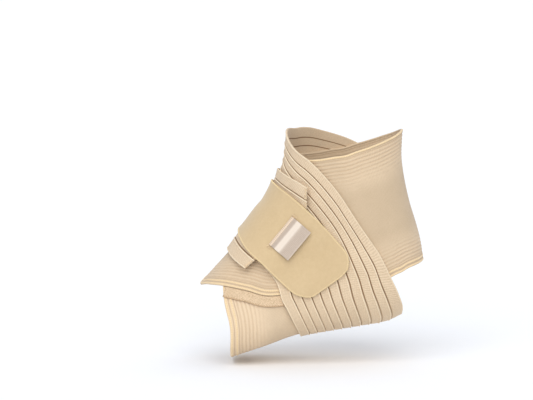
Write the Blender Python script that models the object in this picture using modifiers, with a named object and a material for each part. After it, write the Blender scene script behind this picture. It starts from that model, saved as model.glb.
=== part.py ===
"""Elastic figure-of-eight ankle brace, in the form that it has when worn on a left foot.

Units are metres. +Z runs up the shin, -X towards the toes and -Y to the outer side of the
foot. The origin is the centre of the ankle joint, inside the hollow. Each band is a cloth
wall laid on the form of the foot, or on the bands beneath it.

The form is a fan of sections. They turn about one line in front of the shin: "fan" is the
angle of a section below the horizontal, in degrees, and "around" is the angle within it,
0 at the instep, 90 at the outer side, 180 at the heel and sole, 270 at the inner side.
"""

import math

import bpy
import numpy as np
from mathutils import Vector
from mathutils.bvhtree import BVHTree

# Form of the foot
ANKLE_DEPTH = 0.0806
ANKLE_WIDTH = 0.064
INSTEP_RADIUS = 0.0683
FAN_LINE_FORWARD = 0.10725
FAN_LINE_HEIGHT = 0.06525

# Bands
ANKLE_BAND_WIDTH = 0.1016
ANKLE_BAND_THICKNESS = 0.0014
FOOT_BAND_WIDTH = 0.1016
FOOT_BAND_THICKNESS = 0.0013
JOINING_STRIP_WIDTH = 0.008
JOINING_STRIP_THICKNESS = 0.0011
STRAP_WIDTH = 0.077
STRAP_THICKNESS = 0.0015
STRAP_RIBS = 11
RIB_HEIGHT = 0.0005
FLAP_WIDTH = 0.051
FLAP_LENGTH = 0.106
FLAP_THICKNESS = 0.0013
FLAP_CORNER = 0.011
LABEL_LENGTH = 0.027
LABEL_WIDTH = 0.019
LABEL_THICKNESS = 0.0011

# Clearances
LAYER_GAP = 0.0003
BUTT_GAP = 0.0007

# Fineness of the meshes
ANKLE_BAND_ROWS = 50
ANKLE_BAND_COLUMNS = 14
FOOT_BAND_ROWS = 40
FOOT_BAND_COLUMNS = 11
STRAP_ROWS = 58
FLAP_ROWS = 13
FLAP_CORNER_ROWS = 5
FLAP_COLUMNS = 8
LABEL_ROWS = 7
LABEL_COLUMNS = 6
STRIP_ROWS = 14
STRIP_COLUMNS = 2
PROBES_PER_CELL = 3
ROUTE_STEPS = 720
ANGLE_STEP = 0.05
ANKLE_BAND_SPAN = 8.0
LABEL_SEARCH_STEPS = 6

# Sections of the form, by fan angle. "front" is a share of INSTEP_RADIUS, "depth" of
# ANKLE_DEPTH and "width" of ANKLE_WIDTH. "egg" widens a section towards the sole, "square"
# fills its corners, and "lean" moves the top of the instep to the inner side.
FORM_COLUMNS = ("fan", "front", "depth", "width", "egg", "square", "lean")
FORM_SECTIONS = (
    (-12, 0.925, 1.063, 1.00, -0.06, 0.03, 0.00),
    (0, 0.945, 1.046, 1.00, -0.06, 0.03, 0.00),
    (10, 0.980, 1.039, 1.00, -0.07, 0.04, 0.00),
    (20, 1.028, 1.161, 1.03, -0.06, 0.06, 0.01),
    (30, 1.070, 1.443, 1.06, -0.04, 0.10, 0.02),
    (38, 1.120, 1.628, 1.06, 0.00, 0.12, 0.03),
    (45, 1.160, 1.532, 1.05, 0.03, 0.14, 0.04),
    (50, 1.190, 1.369, 1.05, 0.06, 0.15, 0.05),
    (55, 1.212, 1.244, 1.06, 0.08, 0.15, 0.06),
    (65, 1.305, 1.026, 1.10, 0.13, 0.15, 0.09),
    (75, 1.430, 0.915, 1.17, 0.16, 0.14, 0.12),
    (85, 1.640, 0.786, 1.24, 0.17, 0.13, 0.14),
    (97, 2.040, 0.565, 1.30, 0.18, 0.12, 0.15),
)

# Routes of the bands. A row gives the middle of the band at one place around the form, and
# "lean" turns its cross line away from the fan direction. "width" is a share of the band's
# width, "slack" holds it off what lies under it, as a share of its own thickness.
ROUTE_COLUMNS = ("around", "fan", "lean", "width", "slack")

ANKLE_BAND_ROUTE = (
    (0, 55.1, 0, 1.050, 0.0),
    (28, 53.0, 2, 1.052, 0.0),
    (51, 49.2, 5, 1.106, 0.0),
    (68, 44.7, 11, 1.175, 0.0),
    (83, 39.8, 15, 1.227, 0.0),
    (96, 31.5, 14, 1.161, 0.0),
    (106, 26.3, 9, 1.065, 0.0),
    (116, 22.6, 4, 0.976, 0.0),
    (129, 20.0, 1, 0.963, 0.0),
    (150, 17.6, -2, 0.971, 0.0),
    (180, 16.3, 0, 0.960, 0.0),
)

FOOT_BAND_ROUTE = (
    (0, 61.0, 0, 0.70, 0.0),
    (45, 60.3, 0, 0.75, 0.0),
    (90, 61.0, 0, 0.95, 0.0),
    (135, 64.5, 0, 1.03, 0.0),
    (180, 66.5, 0, 0.97, 0.0),
)

STRAP_ROUTE = (
    (-118, 22.0, 0, 1.04, 0.0),
    (-90, 22.8, 0, 1.10, 0.0),
    (-60, 26.2, 0, 1.12, 0.0),
    (-30, 31.6, 0, 1.12, 0.0),
    (0, 35.0, 0, 1.15, 0.0),
    (25, 39.3, 0, 1.12, 0.0),
    (39, 40.6, 1, 1.11, 0.0),
    (49, 41.4, -2, 1.13, 0.0),
    (69, 44.1, -5, 1.15, 0.0),
    (86, 46.8, -4, 1.13, 0.0),
    (101, 49.4, -3, 1.14, 0.0),
    (115, 51.3, -4, 1.08, 0.0),
    (127, 52.2, -4, 1.06, 0.0),
    (147, 53.1, -2, 1.04, 0.0),
    (170, 53.9, 0, 1.00, 0.0),
    (190, 54.0, 0, 0.98, 0.0),
    (205, 53.8, 0, 0.99, 0.0),
    (235, 53.5, 0, 0.98, 0.0),
    (268, 52.5, -4, 0.93, 0.0),
    (300, 52.2, 0, 0.90, 0.0),
    (330, 52.5, 0, 0.92, 0.0),
    (360, 52.4, 0, 0.92, 0.0),
    (397, 51.6, 4, 0.97, 0.0),
    (418, 49.9, 5.5, 1.05, 0.5),
)

FLAP_ROUTE = (
    (-70, 52.0, 0, 0.91, 0.0),
    (-30, 52.0, 0, 0.91, 0.0),
    (0, 51.9, 0, 0.92, 0.0),
    (25, 52.0, 0, 0.98, 0.0),
    (47, 51.75, 5, 1.07, 0.0),
    (66, 51.3, 6, 1.08, 0.0),
    (81, 51.0, 10, 1.09, 0.0),
    (94, 50.5, 13, 1.09, 0.0),
    (102, 50.0, 18, 1.07, 0.0),
)

# The strap crosses itself at the instep: its second pass starts past this place, and its
# first one is over by it.
FIRST_PASS_END = 170
SECOND_PASS_START = 205

# Middle of the label, how far its sewn edge is turned from the fan direction, and how far the
# flap beneath it stands off the form
LABEL_FAN_ANGLE = 50.8
LABEL_AROUND_ANGLE = 62.0
LABEL_TURN_ANGLE = -18.5
LABEL_STANDS_OFF = 0.011

# Part of each side that the joining strip follows, between the sole and the front edge
STRIP_START = 53
STRIP_END = 101

CLOTH_BEIGE = (0.730, 0.558, 0.370)
STRAP_BEIGE = (0.760, 0.597, 0.413)
FLAP_YELLOW = (0.752, 0.584, 0.328)
LABEL_PINK = (0.680, 0.527, 0.446)


def smooth_column(columns, rows, name, at):
    """Column `name` of a table, read at `at` along its first column, as a smooth curve."""
    table = np.array(rows, dtype=float)
    key = table[:, 0]
    value = table[:, columns.index(name)]
    step = np.diff(key)
    slope = np.diff(value) / step
    knot = np.concatenate(([slope[0]], slope, [slope[-1]]))
    wide = np.concatenate(([step[0]], step, [step[-1]]))
    tangent = (knot[:-1] * wide[1:] + knot[1:] * wide[:-1]) / (wide[:-1] + wide[1:])
    at = np.asarray(at, dtype=float)
    cell = np.clip(np.searchsorted(key, at) - 1, 0, len(step) - 1)
    t = (at - key[cell]) / step[cell]
    rise = t * t * (3 - 2 * t)
    lead = t * (1 - t) ** 2 * step[cell]
    trail = t * t * (1 - t) * step[cell]
    blend = value[cell] * (1 - rise) + value[cell + 1] * rise
    return blend + lead * tangent[cell] - trail * tangent[cell + 1]


def form_points(fan, around):
    """Points on the form of the foot, for arrays of the two angles."""
    share = {name: smooth_column(FORM_COLUMNS, FORM_SECTIONS, name, fan) for name in FORM_COLUMNS[1:]}
    turn = np.radians(around)
    front_back = np.cos(turn) * (1 + share["square"] * np.sin(turn) ** 2)
    side = np.sin(turn) * (1 + share["square"] * np.cos(turn) ** 2)
    half_depth = share["depth"] * ANKLE_DEPTH / 2
    half_width = share["width"] * ANKLE_WIDTH / 2
    reach = share["front"] * INSTEP_RADIUS + half_depth * (1 - front_back)
    y = share["lean"] * half_width * (1 + front_back) / 2
    y = y - half_width * side * (1 - share["egg"] * front_back)
    x = reach * np.cos(np.radians(fan)) - FAN_LINE_FORWARD
    z = FAN_LINE_HEIGHT - reach * np.sin(np.radians(fan))
    return np.stack([x, y, z], axis=-1)


def form_steps(fan, around):
    """Movement on the form for one degree of each angle, and the outward normal."""
    step = ANGLE_STEP
    along_fan = (form_points(fan + step, around) - form_points(fan - step, around)) / (2 * step)
    along_around = (form_points(fan, around + step) - form_points(fan, around - step)) / (2 * step)
    normal = np.cross(along_fan, along_around)
    normal /= np.linalg.norm(normal, axis=-1, keepdims=True)
    return along_fan, along_around, normal


def lifted_points(fan, around, height):
    """Points at a height above the form."""
    return form_points(fan, around) + form_steps(fan, around)[2] * height


def angles_under(fan, around, turn, lengthwise, crosswise, height):
    """Both angles under a flat grid that is laid at a height, with its middle over one place.

    `turn` turns the grid away from the fan direction, in degrees.
    """
    middle = lifted_points(fan, around, height)
    along_fan, _, normal = form_steps(fan, around)
    down = along_fan / np.linalg.norm(along_fan)
    side = np.cross(normal, down)
    turn = math.radians(turn)
    first = side * math.sin(turn) - down * math.cos(turn)
    second = side * math.cos(turn) + down * math.sin(turn)
    wanted = middle + lengthwise[..., None] * first + crosswise[..., None] * second
    fan = fan + 0 * lengthwise
    around = around + 0 * lengthwise
    step = 10 * ANGLE_STEP
    for _ in range(LABEL_SEARCH_STEPS):
        here = lifted_points(fan, around, height)
        more_fan = (lifted_points(fan + step, around, height) - here) / step
        more_around = (lifted_points(fan, around + step, height) - here) / step
        miss = wanted - here
        moves = np.stack([np.stack([more_fan @ axis, more_around @ axis], axis=-1)
                          for axis in (first, second)], axis=-2)
        change = np.linalg.solve(moves, np.stack([miss @ first, miss @ second], axis=-1)[..., None])[..., 0]
        fan = fan + change[..., 0]
        around = around + change[..., 1]
    return fan, around


def mirrored(route):
    """A route given from the instep to the sole, carried round both sides of the foot."""
    back = [(360 - row[0], row[1], -row[2]) + tuple(row[3:]) for row in route[-2::-1]]
    whole = list(route) + back
    before = [(row[0] - 360,) + tuple(row[1:]) for row in whole[-3:-1]]
    after = [(row[0] + 360,) + tuple(row[1:]) for row in whole[1:3]]
    return tuple(before + whole + after)


def measured_route(route, start, end):
    """Places along a route, and their distances from its start along the middle of the band."""
    places = np.linspace(start, end, ROUTE_STEPS + 1)
    middle = form_points(smooth_column(ROUTE_COLUMNS, route, "fan", places), places)
    run = np.cumsum(np.linalg.norm(np.diff(middle, axis=0), axis=1))
    return places, np.concatenate(([0], run))


def even_stops(route, start, end, count):
    """`count` + 1 places around the form, evenly spaced along the middle of a route."""
    places, run = measured_route(route, start, end)
    return np.interp(np.linspace(0, run[-1], count + 1), run, places)


def cross_lines(route, width, stops, across, span=ANGLE_STEP):
    """Both angles of the points where cross lines of a band meet its lengthwise lines.

    The size of a degree is measured over `span` degrees to each side of the middle of the band.
    """
    read = {name: smooth_column(ROUTE_COLUMNS, route, name, stops) for name in ROUTE_COLUMNS[1:]}
    middle = read["fan"]
    chord = form_points(middle + span, stops) - form_points(middle - span, stops)
    fan_unit = np.linalg.norm(chord, axis=-1) / (2 * span)
    around_unit = np.linalg.norm(form_steps(middle, stops)[1], axis=-1)
    lean = np.radians(read["lean"])
    offset = across * width * read["width"][:, None]
    fan = middle[:, None] + offset * (np.cos(lean) / fan_unit)[:, None]
    around = stops[:, None] + offset * (np.sin(lean) / around_unit)[:, None]
    return fan, around, read["slack"][:, None] + 0 * fan


def spread(values, rows, columns, closed, pick):
    """Each value replaced by the largest, or the mean, of those near it in the grid."""
    result = values
    for axis, reach in ((0, rows), (1, columns)):
        if reach:
            wrap = "wrap" if closed and axis == 0 else "edge"
            pad = [(0, 0), (0, 0)]
            pad[axis] = (reach, reach)
            padded = np.pad(result, pad, mode=wrap)
            size = result.shape[axis]
            near = [np.take(padded, range(k, k + size), axis=axis) for k in range(2 * reach + 1)]
            result = pick(np.stack(near), axis=0)
    return result


def in_cells(values, s, t):
    """A grid's values at one place in each of its cells, as shares of the cell's two sides."""
    near = values[:-1, :-1] * (1 - s) + values[1:, :-1] * s
    far = values[:-1, 1:] * (1 - s) + values[1:, 1:] * s
    return near * (1 - t) + far * t


def height_above(points, normals, obstacles, closed):
    """Height at each grid point that keeps its cells clear of every obstacle beneath them."""
    if closed:
        points = np.concatenate((points, points[:1]))
        normals = np.concatenate((normals, normals[:1]))
    probe_from = ANKLE_DEPTH / 3
    highest = np.zeros((points.shape[0] - 1, points.shape[1] - 1))
    steps = np.linspace(0, 1, PROBES_PER_CELL + 1)
    for s, t in [(s, t) for s in steps for t in steps]:
        spots = in_cells(points, s, t)
        outward = in_cells(normals, s, t)
        for cell in np.ndindex(highest.shape):
            away = Vector(outward[cell]).normalized()
            origin = Vector(spots[cell]) + away * probe_from
            for tree in obstacles:
                distance = tree.ray_cast(origin, -away, probe_from)[3]
                if distance is not None:
                    highest[cell] = max(highest[cell], probe_from - distance + LAYER_GAP)
    if closed:
        highest = np.concatenate((highest[-1:], highest))
    else:
        highest = np.pad(highest, ((1, 1), (0, 0)))
    highest = np.pad(highest, ((0, 0), (1, 1)))
    corners = (highest[:-1, :-1], highest[1:, :-1], highest[:-1, 1:], highest[1:, 1:])
    return np.max(np.stack(corners), axis=0)


def laid(fan, around, slack, thickness, obstacles, closed=False, ease=(1, 2)):
    """Inner face of a band laid on the form and over the obstacles, with its normals."""
    points = form_points(fan, around)
    normals = form_steps(fan, around)[2]
    need = height_above(points, normals, obstacles, closed)
    lifted = spread(spread(need, *ease, closed, np.max), *ease, closed, np.mean)
    lifted = lifted + slack * thickness
    return points + normals * lifted[..., None], normals


def material(name, colour):
    made = bpy.data.materials.new(name)
    made.use_nodes = True
    shader = made.node_tree.nodes["Principled BSDF"]
    shader.inputs["Base Color"].default_value = (*colour, 1.0)
    shader.inputs["Roughness"].default_value = 0.9
    return made


def cloth(name, grid, thickness, colour, collection, closed=False):
    """One closed cloth wall: the grid is its inner face, and Solidify gives its thickness."""
    rows, columns = grid.shape[:2]
    faces = []
    for i in range(rows if closed else rows - 1):
        below = (i + 1) % rows
        for j in range(columns - 1):
            corners = (i * columns + j, i * columns + j + 1, below * columns + j + 1, below * columns + j)
            faces.append(corners)
    mesh = bpy.data.meshes.new(name)
    mesh.from_pydata([tuple(point) for point in grid.reshape(-1, 3)], [], faces)
    mesh.shade_smooth()
    mesh.materials.append(material(name, colour))
    made = bpy.data.objects.new(name, mesh)
    collection.objects.link(made)
    wall = made.modifiers.new("wall", "SOLIDIFY")
    wall.thickness = thickness
    wall.offset = 1.0
    wall.use_even_offset = True
    return made


def tree_of(made):
    """Search tree of a finished band, for laying the next one over it."""
    bpy.context.view_layer.update()
    return BVHTree.FromObject(made, bpy.context.evaluated_depsgraph_get())


def grid_tree(grid):
    """Search tree of a bare grid of points."""
    rows, columns = grid.shape[:2]
    faces = []
    for i in range(rows - 1):
        for j in range(columns - 1):
            first = i * columns + j
            faces.append((first, first + 1, first + columns + 1, first + columns))
    return BVHTree.FromPolygons([Vector(point) for point in grid.reshape(-1, 3)], faces)


def ring_band(name, route, width, thickness, counts, obstacles, colour, collection, span=ANGLE_STEP):
    """A band that closes on itself round the foot."""
    rows, columns = counts
    whole = mirrored(route)
    stops = even_stops(whole, 0, 360, rows)[:-1]
    across = np.linspace(-0.5, 0.5, columns + 1)[None, :]
    fan, around, slack = cross_lines(whole, width, stops, across, span)
    grid, _ = laid(fan, around, slack, thickness, obstacles, closed=True)
    return cloth(name, grid, thickness, colour, collection, closed=True)


def edge_band(name, side, obstacles, collection):
    """The joining strip of one side, laid beside the lower front edge of the ankle band."""
    route = mirrored(ANKLE_BAND_ROUTE)
    middle = even_stops(route, STRIP_START, STRIP_END, STRIP_ROWS)
    edge_share = np.array([[0.5]])
    fan, around, _ = cross_lines(route, ANKLE_BAND_WIDTH, middle, edge_share, ANKLE_BAND_SPAN)
    fan = fan[:, 0]
    around = around[:, 0]
    edge = form_points(fan, around)
    along_fan, along_around, normal = form_steps(fan, around)
    tangent = np.gradient(edge, axis=0)
    outward = np.cross(normal, tangent)
    outward /= np.linalg.norm(outward, axis=-1, keepdims=True)
    outward *= np.sign(np.sum(outward * along_fan, axis=-1)).mean()
    steps = np.stack([along_fan, along_around], axis=-1)
    turn = np.einsum("nij,nj->ni", np.linalg.pinv(steps), outward)
    distance = BUTT_GAP + np.linspace(0, 1, STRIP_COLUMNS + 1) * JOINING_STRIP_WIDTH
    fan = fan[:, None] + turn[:, :1] * distance[None, :]
    around = around[:, None] + turn[:, 1:] * distance[None, :]
    if side == "inner":
        around = 360 - around[::-1]
        fan = fan[::-1]
    grid, _ = laid(fan, around, 0 * fan, JOINING_STRIP_THICKNESS, obstacles)
    return cloth(name, grid, JOINING_STRIP_THICKNESS, CLOTH_BEIGE, collection)


def cross_strap(obstacles, collection):
    """The ribbed strap, from the inner ankle round the shin, under the arch and back over."""
    start = STRAP_ROUTE[0][0]
    end = STRAP_ROUTE[-1][0]
    stops = even_stops(STRAP_ROUTE, start, end, STRAP_ROWS)
    across = np.linspace(-0.5, 0.5, 2 * STRAP_RIBS + 1)[None, :]
    fan, around, slack = cross_lines(STRAP_ROUTE, STRAP_WIDTH, stops, across)
    points = form_points(fan, around)
    normals = form_steps(fan, around)[2]
    ridge = RIB_HEIGHT * (np.arange(2 * STRAP_RIBS + 1) % 2)[None, :]
    height = height_above(points, normals, obstacles, False)
    first = stops <= FIRST_PASS_END
    second = stops >= SECOND_PASS_START
    settled = spread(spread(height, 1, 2, False, np.max), 1, 2, False, np.mean)
    outer_height = settled + slack * STRAP_THICKNESS + ridge + STRAP_THICKNESS
    outer = points + normals * outer_height[..., None]
    crossing = height_above(points[second], normals[second], [grid_tree(outer[first])], False)
    height[second] = np.maximum(height[second], crossing)
    lifted = spread(spread(height, 1, 2, False, np.max), 1, 2, False, np.mean)
    lifted = lifted + slack * STRAP_THICKNESS + ridge
    grid = points + normals * lifted[..., None]
    return cloth("cross_strap", grid, STRAP_THICKNESS, STRAP_BEIGE, collection)


def rounded_share(distance, length, width, corner):
    """Share of its width that a tab keeps at a distance along it, with a rounded far end."""
    into = np.clip(distance - (length - corner), 0, corner)
    cut = corner - np.sqrt(np.maximum(corner ** 2 - into ** 2, 0))
    return 1 - 2 * cut / width


def closure_flap(obstacles, collection):
    """The smooth tab that holds the end of the strap; its far end is rounded."""
    places, run = measured_route(FLAP_ROUTE, FLAP_ROUTE[0][0], FLAP_ROUTE[-1][0])
    straight = np.linspace(0, FLAP_LENGTH - FLAP_CORNER, FLAP_ROWS + 1)
    turning = np.radians(np.linspace(0, 90, FLAP_CORNER_ROWS + 1)[1:])
    distance = np.concatenate((straight, FLAP_LENGTH - FLAP_CORNER + FLAP_CORNER * np.sin(turning)))
    stops = np.interp(run[-1] - FLAP_LENGTH + distance, run, places)
    keep = rounded_share(distance, FLAP_LENGTH, FLAP_WIDTH, FLAP_CORNER)[:, None]
    across = np.linspace(-0.5, 0.5, FLAP_COLUMNS + 1)[None, :] * keep
    fan, around, slack = cross_lines(FLAP_ROUTE, FLAP_WIDTH, stops, across)
    grid, _ = laid(fan, around, slack, FLAP_THICKNESS, obstacles)
    return cloth("closure_flap", grid, FLAP_THICKNESS, FLAP_YELLOW, collection)


def flap_label(obstacles, collection):
    """The bare satin label, sewn along one edge; its free fold stands off a little."""
    lengthwise = np.linspace(-0.5, 0.5, LABEL_ROWS + 1)[:, None] * LABEL_LENGTH
    crosswise = np.linspace(-0.5, 0.5, LABEL_COLUMNS + 1)[None, :] * LABEL_WIDTH
    lengthwise, crosswise = np.broadcast_arrays(lengthwise, crosswise)
    fan, around = angles_under(LABEL_FAN_ANGLE, LABEL_AROUND_ANGLE, LABEL_TURN_ANGLE,
                               lengthwise, crosswise, LABEL_STANDS_OFF)
    slack = (crosswise / LABEL_WIDTH + 0.5) ** 2 + 0 * fan
    grid, _ = laid(fan, around, slack, LABEL_THICKNESS, obstacles)
    return cloth("flap_label", grid, LABEL_THICKNESS, LABEL_PINK, collection)


def clear_scene():
    for old in list(bpy.data.objects):
        bpy.data.objects.remove(old, do_unlink=True)


def main():
    clear_scene()
    brace = bpy.data.collections.new("ankle_brace")
    bpy.context.scene.collection.children.link(brace)

    foot_counts = (FOOT_BAND_ROWS, FOOT_BAND_COLUMNS)
    foot = ring_band("foot_band", FOOT_BAND_ROUTE, FOOT_BAND_WIDTH, FOOT_BAND_THICKNESS,
                     foot_counts, [], CLOTH_BEIGE, brace)
    under = [tree_of(foot)]

    ankle_counts = (ANKLE_BAND_ROWS, ANKLE_BAND_COLUMNS)
    ankle = ring_band("ankle_band", ANKLE_BAND_ROUTE, ANKLE_BAND_WIDTH, ANKLE_BAND_THICKNESS,
                      ankle_counts, under, CLOTH_BEIGE, brace, ANKLE_BAND_SPAN)
    strips = [edge_band("joining_strip_" + side, side, under, brace) for side in ("outer", "inner")]
    under = under + [tree_of(ankle)] + [tree_of(strip) for strip in strips]

    strap = cross_strap(under, brace)
    under = under + [tree_of(strap)]

    flap = closure_flap(under, brace)
    under = under + [tree_of(flap)]

    flap_label(under, brace)


main()
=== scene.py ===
# %% [markdown]
# # An elastic ankle brace, made cell by cell
#
# The real brace is three elastic bands sewn together: a loop round the midfoot, a loop round the
# ankle, and a long ribbed strap that is wound over both and closed with a felt flap. This lesson
# lays each band as a thin cloth wall on one invisible form, then adds the ribs, cords and
# stitches, and then the finishes.
#
# The packed solids are loaded first. They fix every size and place, and each band made here
# takes the place of one of them.

# %% Load the packed solids
import math

import bpy
import numpy as np
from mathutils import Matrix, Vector
from mathutils.bvhtree import BVHTree
from mathutils.kdtree import KDTree


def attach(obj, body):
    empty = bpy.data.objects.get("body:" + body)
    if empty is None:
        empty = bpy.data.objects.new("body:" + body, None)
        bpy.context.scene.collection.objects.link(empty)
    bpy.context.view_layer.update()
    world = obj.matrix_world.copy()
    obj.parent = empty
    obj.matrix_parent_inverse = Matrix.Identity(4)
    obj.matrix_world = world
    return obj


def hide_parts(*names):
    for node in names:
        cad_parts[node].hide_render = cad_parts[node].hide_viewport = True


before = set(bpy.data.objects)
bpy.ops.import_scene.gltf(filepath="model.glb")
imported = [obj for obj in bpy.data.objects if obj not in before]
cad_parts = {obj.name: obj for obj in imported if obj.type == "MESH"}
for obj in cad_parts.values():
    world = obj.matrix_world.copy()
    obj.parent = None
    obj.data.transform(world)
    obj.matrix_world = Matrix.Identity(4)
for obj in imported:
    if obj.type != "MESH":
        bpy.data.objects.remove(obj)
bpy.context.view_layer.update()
print("solids:", sorted(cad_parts))

# %% [markdown]
# ## The form under the bands
#
# The brace bends at the ankle, so one straight axis can't carry all its bands. The form used here
# is a fan of sections that turn about a line in front of it, like the pages of an open book.
# "fan" says which page, and "around" is the angle on the page: 0 at the instep, 90 at the outer
# side, 180 at the heel and sole, 270 at the inner side. A short table gives each page its depth,
# width and squareness, and a smooth curve fills in between the rows.

# %% Sizes of the form and the bands, in metres
MM = 0.001
ANKLE_DEPTH = 0.0806
ANKLE_WIDTH = 0.064
INSTEP_RADIUS = 0.0683
FAN_LINE_FORWARD = 0.10725
FAN_LINE_HEIGHT = 0.06525

ANKLE_BAND_WIDTH = 0.1016
ANKLE_BAND_THICKNESS = 0.0014
FOOT_BAND_WIDTH = 0.1016
FOOT_BAND_THICKNESS = 0.0013
JOINING_STRIP_WIDTH = 0.008
JOINING_STRIP_THICKNESS = 0.0011
STRAP_WIDTH = 0.077
STRAP_THICKNESS = 0.0015
STRAP_RIBS = 11
RIB_HEIGHT = 0.0005
FLAP_WIDTH = 0.051
FLAP_LENGTH = 0.106
FLAP_THICKNESS = 0.0013
FLAP_CORNER = 0.011
LABEL_LENGTH = 0.027
LABEL_WIDTH = 0.019
LABEL_THICKNESS = 0.0011
LAYER_GAP = 0.0003
BUTT_GAP = 0.0003

# %% Table of the form, and the smooth curve through a table
FORM_COLUMNS = ("fan", "front", "depth", "width", "egg", "square", "lean")
FORM_SECTIONS = (
    (-12, 0.925, 1.063, 1.00, -0.06, 0.03, 0.00),
    (0, 0.945, 1.046, 1.00, -0.06, 0.03, 0.00),
    (10, 0.980, 1.039, 1.00, -0.07, 0.04, 0.00),
    (20, 1.028, 1.161, 1.03, -0.06, 0.06, 0.01),
    (30, 1.070, 1.443, 1.06, -0.04, 0.10, 0.02),
    (38, 1.120, 1.628, 1.06, 0.00, 0.12, 0.03),
    (45, 1.160, 1.532, 1.05, 0.03, 0.14, 0.04),
    (50, 1.190, 1.369, 1.05, 0.06, 0.15, 0.05),
    (55, 1.212, 1.244, 1.06, 0.08, 0.15, 0.06),
    (65, 1.305, 1.026, 1.10, 0.13, 0.15, 0.09),
    (75, 1.430, 0.915, 1.17, 0.16, 0.14, 0.12),
    (85, 1.640, 0.786, 1.24, 0.17, 0.13, 0.14),
    (97, 2.040, 0.565, 1.30, 0.18, 0.12, 0.15),
)


def smooth_column(columns, rows, name, at):
    """Column `name` of a table, read at `at` along its first column, as a smooth curve."""
    table = np.array(rows, dtype=float)
    key = table[:, 0]
    value = table[:, columns.index(name)]
    step = np.diff(key)
    slope = np.diff(value) / step
    knot = np.concatenate(([slope[0]], slope, [slope[-1]]))
    wide = np.concatenate(([step[0]], step, [step[-1]]))
    tangent = (knot[:-1] * wide[1:] + knot[1:] * wide[:-1]) / (wide[:-1] + wide[1:])
    at = np.asarray(at, dtype=float)
    cell = np.clip(np.searchsorted(key, at) - 1, 0, len(step) - 1)
    t = (at - key[cell]) / step[cell]
    rise = t * t * (3 - 2 * t)
    lead = t * (1 - t) ** 2 * step[cell]
    trail = t * t * (1 - t) * step[cell]
    blend = value[cell] * (1 - rise) + value[cell + 1] * rise
    return blend + lead * tangent[cell] - trail * tangent[cell + 1]


def eased(value):
    """0 to 1 as a value goes from 0 to 1, with a smooth start and end."""
    share = np.clip(value, 0, 1)
    return share * share * (3 - 2 * share)


print("depth of the form at the ankle in mm:", round(ANKLE_DEPTH * 1000, 1))

# %% Points on the form, and the direction away from it
ANGLE_STEP = 0.05


def form_points(fan, around):
    """Points on the form, for arrays of the two angles."""
    share = {name: smooth_column(FORM_COLUMNS, FORM_SECTIONS, name, fan) for name in FORM_COLUMNS[1:]}
    turn = np.radians(around)
    front_back = np.cos(turn) * (1 + share["square"] * np.sin(turn) ** 2)
    side = np.sin(turn) * (1 + share["square"] * np.cos(turn) ** 2)
    half_depth = share["depth"] * ANKLE_DEPTH / 2
    half_width = share["width"] * ANKLE_WIDTH / 2
    reach = share["front"] * INSTEP_RADIUS + half_depth * (1 - front_back)
    y = share["lean"] * half_width * (1 + front_back) / 2
    y = y - half_width * side * (1 - share["egg"] * front_back)
    x = reach * np.cos(np.radians(fan)) - FAN_LINE_FORWARD
    z = FAN_LINE_HEIGHT - reach * np.sin(np.radians(fan))
    return np.stack([x, y, z], axis=-1)


def form_steps(fan, around):
    """Movement on the form for one degree of each angle, and the outward normal."""
    step = ANGLE_STEP
    along_fan = (form_points(fan + step, around) - form_points(fan - step, around)) / (2 * step)
    along_around = (form_points(fan, around + step) - form_points(fan, around - step)) / (2 * step)
    normal = np.cross(along_fan, along_around)
    normal /= np.linalg.norm(normal, axis=-1, keepdims=True)
    return along_fan, along_around, normal


sole = form_points(np.array([54.0]), np.array([180.0]))[0]
print("lowest part of the arch in mm:", np.round(sole * 1000, 1))

# %% [markdown]
# ## The routes
#
# A band is a line on the form, with a width. Each row of a route gives the middle of the band at
# one place around the form, how far its cross line leans, and how much the elastic has spread or
# narrowed there. The two loops are the same on their outer and inner sides, so half a table is
# enough for them.

# %% Routes of the five bands
ROUTE_COLUMNS = ("around", "fan", "lean", "width", "slack")

ANKLE_BAND_ROUTE = (
    (0, 55.1, 0, 1.050, 0.0),
    (28, 53.0, 2, 1.052, 0.0),
    (51, 49.2, 5, 1.106, 0.0),
    (68, 44.7, 11, 1.175, 0.0),
    (83, 39.8, 15, 1.227, 0.0),
    (96, 31.5, 14, 1.161, 0.0),
    (106, 26.3, 9, 1.065, 0.0),
    (116, 22.6, 4, 0.976, 0.0),
    (129, 20.0, 1, 0.963, 0.0),
    (150, 17.6, -2, 0.971, 0.0),
    (180, 16.3, 0, 0.960, 0.0),
)

FOOT_BAND_ROUTE = (
    (0, 61.0, 0, 0.70, 0.0),
    (45, 60.3, 0, 0.75, 0.0),
    (90, 61.0, 0, 0.95, 0.0),
    (135, 64.5, 0, 1.03, 0.0),
    (180, 66.5, 0, 0.97, 0.0),
)

STRAP_ROUTE = (
    (-118, 22.0, 0, 1.04, 0.0),
    (-90, 22.8, 0, 1.10, 0.0),
    (-60, 26.2, 0, 1.12, 0.0),
    (-30, 31.6, 0, 1.12, 0.0),
    (0, 35.0, 0, 1.15, 0.0),
    (25, 39.3, 0, 1.12, 0.0),
    (39, 40.6, 1, 1.11, 0.0),
    (49, 41.4, -2, 1.13, 0.0),
    (69, 44.1, -5, 1.15, 0.0),
    (86, 46.8, -4, 1.13, 0.0),
    (101, 49.4, -3, 1.14, 0.0),
    (115, 51.3, -4, 1.08, 0.0),
    (127, 52.2, -4, 1.06, 0.0),
    (147, 53.1, -2, 1.04, 0.0),
    (170, 53.9, 0, 1.00, 0.0),
    (190, 54.0, 0, 0.98, 0.0),
    (205, 53.8, 0, 0.99, 0.0),
    (235, 53.5, 0, 0.98, 0.0),
    (268, 52.5, -4, 0.93, 0.0),
    (300, 52.2, 0, 0.90, 0.0),
    (330, 52.5, 0, 0.92, 0.0),
    (360, 52.4, 0, 0.92, 0.0),
    (397, 51.6, 4, 0.97, 0.0),
    (418, 49.9, 5.5, 1.05, 0.5),
)

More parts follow.
